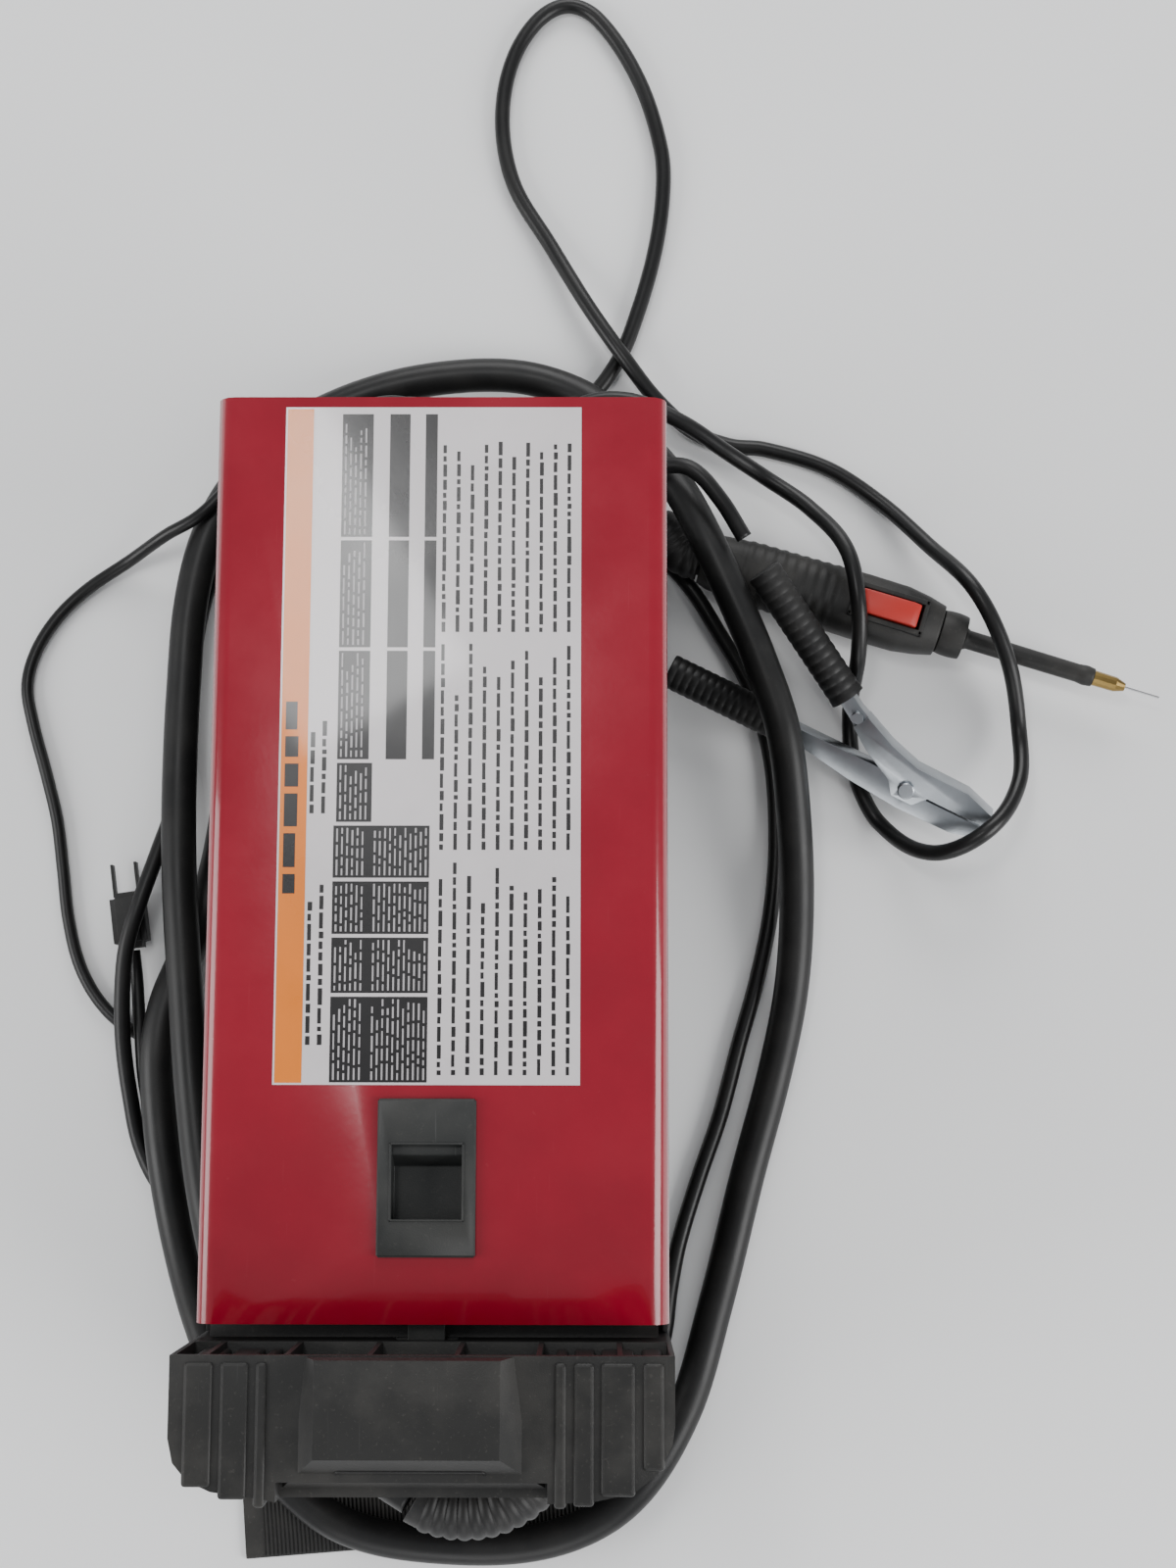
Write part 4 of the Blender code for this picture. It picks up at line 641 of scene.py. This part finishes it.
# ------------------------------------------------------------------ gun
@dataclass
class Gun:
    """The gun: boot at the machine, boot at the grip, grip, trigger, nut, neck and tip.

    Args:
        rear: centre of the grip's rear end.
        heading: direction of the gun in the floor plane, in radians.
    """

    rear: np.ndarray = field(default_factory=lambda: GUN_REAR)
    heading: float = GUN_HEADING

    @property
    def along(self) -> np.ndarray:
        """Unit vector from the grip towards the tip."""
        return np.array((math.cos(self.heading), math.sin(self.heading), 0.0))

    def matrix(self) -> Matrix:
        """Places the gun's own axes: X along it, Z up."""
        return Matrix.Translation(Vector(self.rear)) @ Matrix.Rotation(self.heading, 4, "Z")

    def build(self, cable: np.ndarray) -> list:
        """Make the gun.

        Args:
            cable: points of the gun cable, which the rear boot continues.

        Returns:
            The objects that hang on the cable.
        """
        self._front_boot()
        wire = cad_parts["weld_wire"]
        return [self._rear_boot(cable), *self._grip(), self._trigger(), *self._nose(), wire]

    def boot_line(self, cable: np.ndarray) -> np.ndarray:
        """Centreline of the rear boot, from the cable's end to the grip."""
        leave = cable[-1] - cable[-2]
        leave = leave / np.linalg.norm(leave)
        start = cable[-1] + leave * 0.0008
        enter, meet = self.rear - self.along * 0.012, self.rear - self.along * 0.0015
        return spline([start, start + leave * 0.010, enter, meet], 0.0006)

    def cable_line(self, cable: np.ndarray) -> np.ndarray:
        """The cable with its run through the boot and the grip, where it ends behind the trigger."""
        inside = self.rear + self.along * np.linspace(0.0, 0.080, 60)[:, None]
        return np.vstack((cable, self.boot_line(cable)[::3], inside))

    def _front_boot(self) -> None:
        """Ringed boot that turns 120 degrees; its radius narrows evenly under a row of rounded rings."""
        straight = np.stack((np.full(26, 0.0465), np.linspace(-0.1992, -0.2220, 26), np.full(26, 0.1)), -1)
        turn = np.linspace(0.0, math.radians(120), 170)
        bend = np.stack((0.0015 + 0.045 * np.cos(turn), -0.223 - 0.045 * np.sin(turn), np.full(170, 0.1)), -1)
        points = np.vstack((straight, bend))
        share = np.linspace(0.0, 1.0, len(points))
        radii = 0.0146 - 0.0028 * share + 0.0014 * np.abs(np.sin(share * np.pi * 20)) ** 0.7
        radii = np.where(share > 0.955, 0.0123, radii)
        boot = sweep("gun_boot_rings", points, radii, Look.RUBBER, 40)
        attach(boot, "machine")
        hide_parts("gun_boot")

    def _rear_boot(self, cable: np.ndarray) -> bpy.types.Object:
        """Tapered boot with fine rings between the cable and the grip."""
        points = self.boot_line(cable)
        share = np.linspace(0.0, 1.0, len(points))
        radii = 0.0100 + 0.0018 * share + 0.0008 * np.abs(np.sin(share * np.pi * 8)) ** 0.6
        boot = sweep("gun_rear_boot_rings", points, radii, Look.RUBBER, 36)
        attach(boot, "machine")
        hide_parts("gun_rear_boot")
        return boot

    def _grip(self) -> list:
        """Grip: a squarish swept section whose width swells under the trigger, with a seam on its middle."""
        stations = np.linspace(0.0, 0.1335, 120)
        knots = (0.0, 0.006, 0.025, 0.060, 0.090, 0.112, 0.124, 0.1335)
        widths = np.interp(stations, knots, (0.0130, 0.0150, 0.0168, 0.0174, 0.0180, 0.0178, 0.0160, 0.0136))
        ridges = 0.0003 * np.cos(stations * 2 * np.pi / 0.006) * ((stations > 0.02) & (stations < 0.075))
        points = self.rear + self.along * stations[:, None]
        whole = sweep("gun_grip_shell", points, widths + ridges, Look.MOULDING, 48, 0.95, 2.5)
        opening = [((0.0850, -0.0070, 0.0050), (0.1215, 0.0070, 0.0400))]
        cut = block("gun_slot_tool", opening, Look.MOULDING, 0.0008, self.matrix())
        slot = whole.modifiers.new("slot", "BOOLEAN")
        slot.operation = "DIFFERENCE"
        slot.solver = "EXACT"
        slot.object = cut
        bake(whole)
        bpy.data.objects.remove(cut, do_unlink=True)
        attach(whole, "machine")
        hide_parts("gun_handle_left", "gun_handle_right")
        line = [((0.002, -0.0002, -0.0178), (0.132, 0.0002, -0.0120))]
        seam = block("gun_grip_seam", line, Look.MOULDING, 0.0, self.matrix())
        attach(seam, "machine")
        rim = block("gun_trigger_frame", [
            ((0.0825, -0.0100, 0.0120), (0.1240, -0.0071, 0.0176)),
            ((0.0825, 0.0071, 0.0120), (0.1240, 0.0100, 0.0176)),
            ((0.0825, -0.0100, 0.0120), (0.0849, 0.0100, 0.0176)),
            ((0.1216, -0.0100, 0.0120), (0.1240, 0.0100, 0.0176)),
        ], Look.MOULDING, 0.0007, self.matrix())
        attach(rim, "machine")
        return [whole, seam, rim]

    def _trigger(self) -> bpy.types.Object:
        """Red trigger bar with eased edges."""
        return soften("gun_trigger", Look.TRIGGER, 0.0008, "trigger")

    def _nose(self) -> list:
        """Neck nut and neck; the contact tip keeps the shape it was carried in with."""
        nut = sweep(
            "gun_nut_fluted", self.rear + self.along * np.linspace(0.1342, 0.1476, 30)[:, None],
            0.0112 + 0.0012 * np.sin(np.linspace(0.15, 2.99, 30)) ** 0.5, Look.MOULDING, 32,
        )
        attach(nut, "nozzle_nut")
        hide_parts("gun_nut")
        stations = np.linspace(0.1479, 0.2204, 60)
        places = (0.1479, 0.1500, 0.2120, 0.2160, 0.2204)
        radii = np.interp(stations, places, (0.0066, 0.0052, 0.0050, 0.0056, 0.0050))
        neck = sweep("gun_neck_tube", self.rear + self.along * stations[:, None], radii, Look.MOULDING, 28)
        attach(neck, "machine")
        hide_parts("gun_neck")
        return [nut, neck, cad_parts["contact_tip"]]


def bake(item: bpy.types.Object) -> None:
    """Replace an object's mesh by its evaluated one and drop its modifiers."""
    bpy.context.view_layer.update()
    graph = bpy.context.evaluated_depsgraph_get()
    mesh = bpy.data.meshes.new_from_object(item.evaluated_get(graph))
    item.modifiers.clear()
    item.data = mesh


# ------------------------------------------------------------------ clamp
@dataclass
class Clamp:
    """The work clamp, in its own axes: X along the lower handle, Y towards the upper one.

    Args:
        pivot: centre of the pin.
    """

    pivot: np.ndarray = field(default_factory=lambda: CLAMP_PIVOT)

    def matrix(self) -> Matrix:
        """Places the clamp's own axes in the frame."""
        lower = Vector((math.cos(CLAMP_HEADING), math.sin(CLAMP_HEADING), 0.0))
        level = Vector((math.sin(CLAMP_HEADING), -math.cos(CLAMP_HEADING), 0.0))
        upper = level * math.cos(CLAMP_TILT) + Vector((0.0, 0.0, math.sin(CLAMP_TILT)))
        turn = Matrix((lower, upper, lower.cross(upper))).transposed()
        return Matrix.Translation(Vector(self.pivot)) @ turn.to_4x4()

    def build(self) -> list:
        """Make the arms, sleeves, spring, pin heads and the bolt that holds the lead's lug.

        Returns:
            The objects that hang on the work lead.
        """
        made = [
            soften(node, Look.ZINC, 0.0006, body)
            for node, body in (("clamp_upper_arm", "machine"), ("clamp_lower_arm", "clamp_lower"))
        ]
        placed = np.array(self.matrix())
        lifted = np.array(self.matrix() @ Matrix.Rotation(CLAMP_SPREAD, 4, "Z"))
        for name, node, body, axes, start, end in (
            ("clamp_lower_grip", "clamp_lower_sleeve", "clamp_lower", placed, 0.072, 0.142),
            ("clamp_upper_grip", "clamp_upper_sleeve", "machine", lifted, 0.058, 0.139),
        ):
            stations = np.linspace(start, end, 150)
            share = (stations - start) / (end - start)
            radii = 0.0089 + 0.0005 * np.abs(np.sin(share * np.pi * 16)) ** 0.6
            radii = np.where(share < 0.03, 0.0095, radii)
            line = axes[:3, 3] + axes[:3, 0] * stations[:, None]
            grip = sweep(name, line, radii, Look.RUBBER, 32)
            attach(grip, body)
            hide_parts(node)
            made.append(grip)
        made.append(self._spring(placed))
        heads = []
        for side in (-1, 1):
            heads.append(placed[:3, 3] + placed[:3, 2] * side * 0.0092)
        for number, centre in enumerate(heads):
            step = placed[:3, 2] * np.linspace(-0.0010, 0.0010, 9)[:, None]
            radii = 0.0046 - 0.0008 * np.linspace(-1, 1, 9) ** 4
            head = sweep(f"clamp_pin_head_{number}", centre + step, radii, Look.ZINC, 28)
            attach(head, "machine")
            made.append(head)
        bolt = lifted[:3, 3] + lifted[:3, 0] * 0.047
        line = bolt + lifted[:3, 2] * np.linspace(-0.0098, 0.0098, 12)[:, None]
        lug = sweep("clamp_lug_bolt", line, 0.0034, Look.ZINC, 6)
        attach(lug, "machine")
        return [*made, lug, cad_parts["clamp_pivot"]]

    def _spring(self, axes: np.ndarray) -> bpy.types.Object:
        """Torsion spring: a close helix about the pin."""
        angle = np.linspace(0.0, 2 * np.pi * 4.6, 240)
        height = np.linspace(-0.0036, 0.0036, 240)
        local = np.stack((0.0047 * np.cos(angle), 0.0047 * np.sin(angle), height), -1)
        points = axes[:3, 3] + local @ axes[:3, :3].T
        spring = sweep("clamp_spring_wire", points, 0.00075, Look.STEEL, 10)
        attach(spring, "machine")
        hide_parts("clamp_spring")
        return spring


# ------------------------------------------------------------------ case
@dataclass
class Case:
    """The case: lid with its label and latch, front moulding with its trim, panels, screws and mat."""

    seed: int = 7

    def build(self) -> None:
        """Make every outside piece of the case."""
        soften("top_lid", Look.RED_PAINT, 0.0006, "lid", angle=50.0)
        soften("latch_plate", Look.LATCH, 0.0005, "lid")
        soften("latch_slide", Look.LATCH, 0.0006, "latch")
        soften("front_bezel", Look.MOULDING, 0.0012, "machine")
        for node in ("side_panel_left", "side_panel_right", "rear_panel", "base_pan"):
            soften(node, Look.BLACK_PAINT, 0.0005, "machine")
        soften("front_panel", Look.MOULDING, 0.0003, "machine")
        controls = (
            ("wire_speed_knob", "speed_knob"), ("voltage_knob", "volt_knob"), ("power_rocker", "rocker"),
        )
        for node, body in controls:
            look = Look.TRIGGER if node == "power_rocker" else Look.MOULDING
            soften(node, look, 0.0006, body)
        self._label()
        self._latch_trim()
        self._bezel_trim()
        self._dials()
        self._screws()
        self._mat()

    def _label(self) -> None:
        """Generic notice: an orange stripe, dark bands of ruled lines and a pale field of ruled lines."""
        rng = np.random.default_rng(self.seed)
        left, right, front, rear = -0.0655, 0.0590, -0.0655, 0.2175
        sheet = 0.29002
        rows: dict[Look, list[tuple[float, float, float, float, float]]] = {look: [] for look in (
            Look.LABEL_WHITE, Look.LABEL_BLACK, Look.LABEL_ORANGE, Look.LABEL_GREY)}
        rows[Look.LABEL_WHITE].append((left, right, front, rear, 0.00012))
        rows[Look.LABEL_ORANGE].append((left + 0.0008, left + 0.0118, front + 0.0008, rear - 0.0008, 0.00018))
        dark = rows[Look.LABEL_BLACK]
        blocks = (
            (front + 0.001, -0.030), (-0.0285, -0.006), (-0.0045, 0.0170), (0.0185, 0.040), (0.0415, 0.066),
        )
        for start, end in blocks:
            wide = start < 0.040
            dark.append((left + (0.0230 if wide else 0.0240), left + 0.0385, start, end, 0.00018))
            if wide:
                dark.append((left + 0.0385, left + 0.0625, start, end, 0.00018))
        for start, end in ((0.0675, 0.1130), (0.1145, 0.1600), (0.1615, 0.2145)):
            dark.append((left + 0.0240, left + 0.0370, start, end, 0.00018))
            dark.append((left + 0.0440, left + 0.0525, start, end, 0.00018))
            dark.append((left + 0.0590, left + 0.0640, start, end, 0.00018))
        pale = rows[Look.LABEL_GREY]
        for low, high, start, end, _ in list(dark):
            if high - low > 0.012:
                area = (low + 0.0012, high - 0.001, start + 0.001, end - 0.001)
                pale += ruled(rng, *area, 0.0021, 0.0008, 0.00024)
        ink: list[tuple[float, float, float, float, float]] = []
        for start, end in ((front + 0.004, 0.026), (0.030, 0.116), (0.121, rear - 0.004)):
            ink += ruled(rng, left + 0.0665, right - 0.004, start, end, 0.0058, 0.0017, 0.00018)
        ink += ruled(rng, left + 0.0130, left + 0.0215, front + 0.016, 0.020, 0.0048, 0.0019, 0.00018)
        ink += ruled(rng, left + 0.0130, left + 0.0215, 0.045, 0.085, 0.0048, 0.0019, 0.00018)
        ink += ruled(rng, left + 0.0025, left + 0.0105, 0.012, 0.110, 0.0095, 0.0058, 0.00022, 0.010)
        rows[Look.LABEL_BLACK] += ink
        for look, items in rows.items():
            spans = np.array(items)
            corners = np.stack([
                np.stack((spans[:, i], spans[:, j], sheet + spans[:, 4]), -1)
                for i, j in ((0, 2), (1, 2), (1, 3), (0, 3))
            ], 1).reshape(-1, 3)
            faces = np.arange(len(corners)).reshape(-1, 4)
            plate = mesh_object("notice_" + look.value.name, corners, faces, look, False)
            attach(plate, "lid")

    def _latch_trim(self) -> None:
        """Thin raised rim round the latch opening."""
        rim = block("latch_rim", [
            ((-0.0175, -0.1196, 0.2922), (-0.0166, -0.0884, 0.2930)),
            ((0.0117, -0.1196, 0.2922), (0.0126, -0.0884, 0.2930)),
            ((-0.0175, -0.1196, 0.2922), (0.0126, -0.1187, 0.2930)),
            ((-0.0175, -0.0893, 0.2922), (0.0126, -0.0884, 0.2930)),
        ], Look.LATCH, 0.0003)
        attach(rim, "lid")

    def _bezel_trim(self) -> None:
        """Ribs and steps of the two corner blocks, and the lip's long groove."""
        boxes = []
        for low, high, front in (
            (-0.0900, -0.0790, -0.2148), (-0.0762, -0.0655, -0.2192), (-0.0628, -0.0585, -0.2222),
            (0.0500, 0.0545, -0.2222), (0.0572, 0.0650, -0.2214),
            (0.0675, 0.0805, -0.2178), (0.0835, 0.0915, -0.2085),
        ):
            boxes.append(((low, front, 0.0300), (high, -0.1690, 0.3352)))
        ribs = block("bezel_ribs", boxes, Look.MOULDING, 0.0014)
        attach(ribs, "machine")
        turn = np.linspace(0.0, 2 * np.pi, 160, endpoint=False)
        flat = np.stack((
            -0.0040 + np.clip(np.cos(turn) * 0.2, -0.0265, 0.0265) + 0.0015 * np.cos(turn),
            0.0016 * np.sin(turn),
        ), -1)
        middle, slope = np.array((0.0, -0.2096, 0.3345)), np.array((0.0, -0.5300, -0.8480))
        points = middle + np.stack((flat[:, 0], flat[:, 1] * slope[1], flat[:, 1] * slope[2]), -1)
        points = np.vstack((points, points[:1]))
        groove = sweep("lip_groove", points, 0.00045, Look.RUBBER, 8)
        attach(groove, "machine")

    def _dials(self) -> None:
        """Plain tick marks round the two knobs and a bezel round the rocker."""
        boxes = []
        for centre in (-0.033, 0.033):
            angles = np.radians(np.linspace(-135, 135, 11))
            for angle in angles:
                x, z = centre + 0.0190 * math.sin(angle), 0.215 + 0.0190 * math.cos(angle)
                boxes.append(((x - 0.0005, -0.19305, z - 0.0005), (x + 0.0005, -0.19265, z + 0.0005)))
        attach(block("dial_ticks", boxes, Look.LABEL_WHITE, 0.0), "machine")
        frame_boxes = [
            ((-0.0110, -0.1945, 0.1365), (-0.0078, -0.1927, 0.1635)),
            ((0.0078, -0.1945, 0.1365), (0.0110, -0.1927, 0.1635)),
            ((-0.0110, -0.1945, 0.1613), (0.0110, -0.1927, 0.1640)),
            ((-0.0110, -0.1945, 0.1360), (0.0110, -0.1927, 0.1387)),
        ]
        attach(block("rocker_frame", frame_boxes, Look.MOULDING, 0.0004), "machine")

    def _screws(self) -> None:
        """Round-headed screws of the side panels, rear panel and front panel."""
        places = [
            ((side, y, z), (side, 0.0, 0.0))
            for side in (-0.0951, 0.0951) for y in (-0.150, 0.195) for z in (0.020, 0.235)
        ]
        places += [((x, 0.2204, z), (0.0, 1.0, 0.0)) for x in (-0.082, 0.082) for z in (0.018, 0.262)]
        places += [((x, -0.1928, z), (0.0, -1.0, 0.0)) for x in (-0.062, 0.062) for z in (0.040, 0.262)]
        for number, (centre, axis) in enumerate(places):
            out = np.array(axis) / np.linalg.norm(axis)
            shape = bmesh.new()
            bmesh.ops.create_uvsphere(shape, u_segments=20, v_segments=10, radius=0.0034)
            turn = Vector((0, 0, 1)).rotation_difference(Vector(out)).to_matrix().to_4x4()
            bmesh.ops.scale(shape, vec=(1, 1, 0.42), verts=shape.verts)
            bmesh.ops.transform(shape, matrix=Matrix.Translation(Vector(centre)) @ turn, verts=shape.verts)
            mesh = bpy.data.meshes.new(f"screw_{number}")
            shape.to_mesh(mesh)
            shape.free()
            mesh.polygons.foreach_set("use_smooth", np.full(len(mesh.polygons), True))
            mesh.materials.append(material(Look.BLACK_PAINT))
            item = bpy.data.objects.new(f"screw_{number}", mesh)
            bpy.context.scene.collection.objects.link(item)
            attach(item, "machine")

    def _mat(self) -> None:
        """Rubber mat: its height is a base plus a ridge profile, the absolute sine of the distance across it.

        The outer 10 mm on the left and 2 mm elsewhere stay smooth.
        """
        across = np.linspace(0.0, 0.185, 1100)
        ridge = np.abs(np.sin(across * np.pi / 0.0021)) ** 0.7
        ridge = np.where((across > 0.010) & (across < 0.182), ridge, 0.3)
        depth = np.array((0.0, 0.0006, 0.0016, 0.07, 0.1384, 0.1394, 0.1400))
        edge = np.array((0.0, 0.7, 1.0, 1.0, 1.0, 0.7, 0.0))
        height = (0.0022 + 0.0012 * ridge)[:, None] * edge[None, :]
        top = np.stack(np.broadcast_arrays(across[:, None], depth[None, :], height), -1).reshape(-1, 3)
        rows, columns = len(across), len(depth)
        index = np.arange(rows * columns).reshape(rows, columns)
        quads = np.stack((index[:-1, :-1], index[1:, :-1], index[1:, 1:], index[:-1, 1:]), -1).reshape(-1, 4)
        turn = math.radians(4.6)
        cosine, sine = math.cos(turn), math.sin(turn)
        spin = np.array(((cosine, -sine, 0.0), (sine, cosine, 0.0), (0.0, 0.0, 1.0)))
        points = top @ spin.T + np.array((-0.117, -0.312, 0.0))
        mat = mesh_object("rest_mat_ridges", points, quads, Look.MAT)
        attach(mat, "machine")
        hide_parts("rest_mat")


def ruled(
    rng: np.random.Generator, low: float, high: float, start: float, end: float,
    pitch: float, thick: float, level: float, word: float = 0.0045,
) -> list[tuple[float, float, float, float, float]]:
    """Rows of plain dashes, like print seen from too far off to read.

    Args:
        rng: random generator.
        low: first X.
        high: last X.
        start: first Y.
        end: last Y.
        pitch: distance between rows.
        thick: thickness of a row.
        level: height over the lid.
        word: middle length of a dash.

    Returns:
        A list of (low X, high X, low Y, high Y, level).
    """
    out = []
    x = low
    while x + thick <= high + 1e-9:
        y = start
        stop = end - rng.uniform(0.0, 0.25) * (end - start)
        while y < stop:
            reach = min(y + word * rng.uniform(0.4, 1.6), end)
            out.append((x, x + thick * rng.uniform(0.75, 1.0), y, reach, level))
            y = reach + word * 0.28
        x += pitch
    return out


# ------------------------------------------------------------------ plug, inside, surroundings
def build_plug() -> list[bpy.types.Object]:
    """Mains plug: the carried plug drawn with rounded edges.

    Returns:
        The objects that hang on the cord.
    """
    item = soften("mains_plug", Look.RUBBER, 0.0012, "machine")
    return [item]


INSIDE: dict[Look, tuple[str, ...]] = {
    Look.ZINC: ("hinge_pin", "clamp_pivot"),
    Look.RUBBER: ("power_relief", "lead_gland"),
    Look.ALUMINIUM: ("centre_partition", "feed_plate", "gear_motor", "heat_sink"),
    Look.STEEL: ("drive_roll", "idle_roll", "weld_wire"),
    Look.BRASS: ("inlet_guide", "contact_tip"),
    Look.WINDING: ("wire_winding",),
    Look.BOARD: ("control_board", "power_board"),
    Look.CORE: ("main_transformer",),
    Look.COPPER: ("output_choke",),
}


def paint_carried() -> None:
    """Give every carried piece its finish; a piece that INSIDE doesn't name is black moulding."""
    looks = {name: look for look, names in INSIDE.items() for name in names}
    for name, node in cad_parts.items():
        node.data.materials.clear()
        node.data.materials.append(material(looks.get(name, Look.MOULDING)))


def build_studio() -> None:
    """Pale floor, soft overhead lights and the camera."""
    bpy.ops.mesh.primitive_plane_add(size=8.0, location=(0.0, 0.0, -0.0001))
    floor = bpy.context.object
    floor.name = "studio_floor"
    paper = bpy.data.materials.new("pale_paper")
    paper.use_nodes = True
    shader = paper.node_tree.nodes["Principled BSDF"]
    shader.inputs["Base Color"].default_value = (0.90, 0.90, 0.90, 1.0)
    shader.inputs["Roughness"].default_value = 0.9
    floor.data.materials.append(paper)
    for name, place, size, power in (
        ("glare_panel", (-0.26, 0.50, 1.75), (0.21, 0.37), 4.5),
        ("fill_panel", (1.75, -0.60, 1.15), (1.2, 1.2), 34.0),
        ("side_panel", (-1.75, -0.30, 1.05), (1.2, 1.2), 26.0),
        ("front_panel", (0.0, -1.95, 1.0), (1.4, 1.0), 13.0),
        ("rear_panel", (0.2, 2.10, 1.1), (1.4, 1.0), 26.0),
    ):
        light = bpy.data.lights.new(name, "AREA")
        light.shape = "RECTANGLE"
        light.size, light.size_y = size
        light.energy = power
        lamp = bpy.data.objects.new(name, light)
        lamp.location = place
        lamp.rotation_mode = "QUATERNION"
        lamp.rotation_quaternion = (Vector((0.0, 0.05, 0.1)) - Vector(place)).to_track_quat("-Z", "Y")
        bpy.context.scene.collection.objects.link(lamp)
    world = bpy.context.scene.world or bpy.data.worlds.new("studio")
    bpy.context.scene.world = world
    world.use_nodes = True
    world.node_tree.nodes["Background"].inputs["Color"].default_value = (0.93, 0.96, 1.0, 1.0)
    world.node_tree.nodes["Background"].inputs["Strength"].default_value = 0.38
    lens = bpy.data.cameras.new("overhead")
    lens.lens = 49.5
    lens.sensor_width = 36.0
    camera = bpy.data.objects.new("overhead", lens)
    camera.location = (0.0672, -0.0618, 1.1692)
    camera.rotation_euler = tuple(math.radians(angle) for angle in (7.717, 0.325, 0.104))
    bpy.context.scene.collection.objects.link(camera)
    bpy.context.scene.camera = camera


def main() -> None:
    """Build the scene."""
    logging.basicConfig(level=logging.INFO)
    build_studio()
    paint_carried()
    cords = Cords()
    welding_gun = Gun()
    gun = welding_gun.build(cords.gun)
    cords.gun = welding_gun.cable_line(cords.gun)
    clamp = Clamp().build()
    cords.build(gun, clamp, build_plug())
    Case().build()


if __name__ == "__main__":
    main()
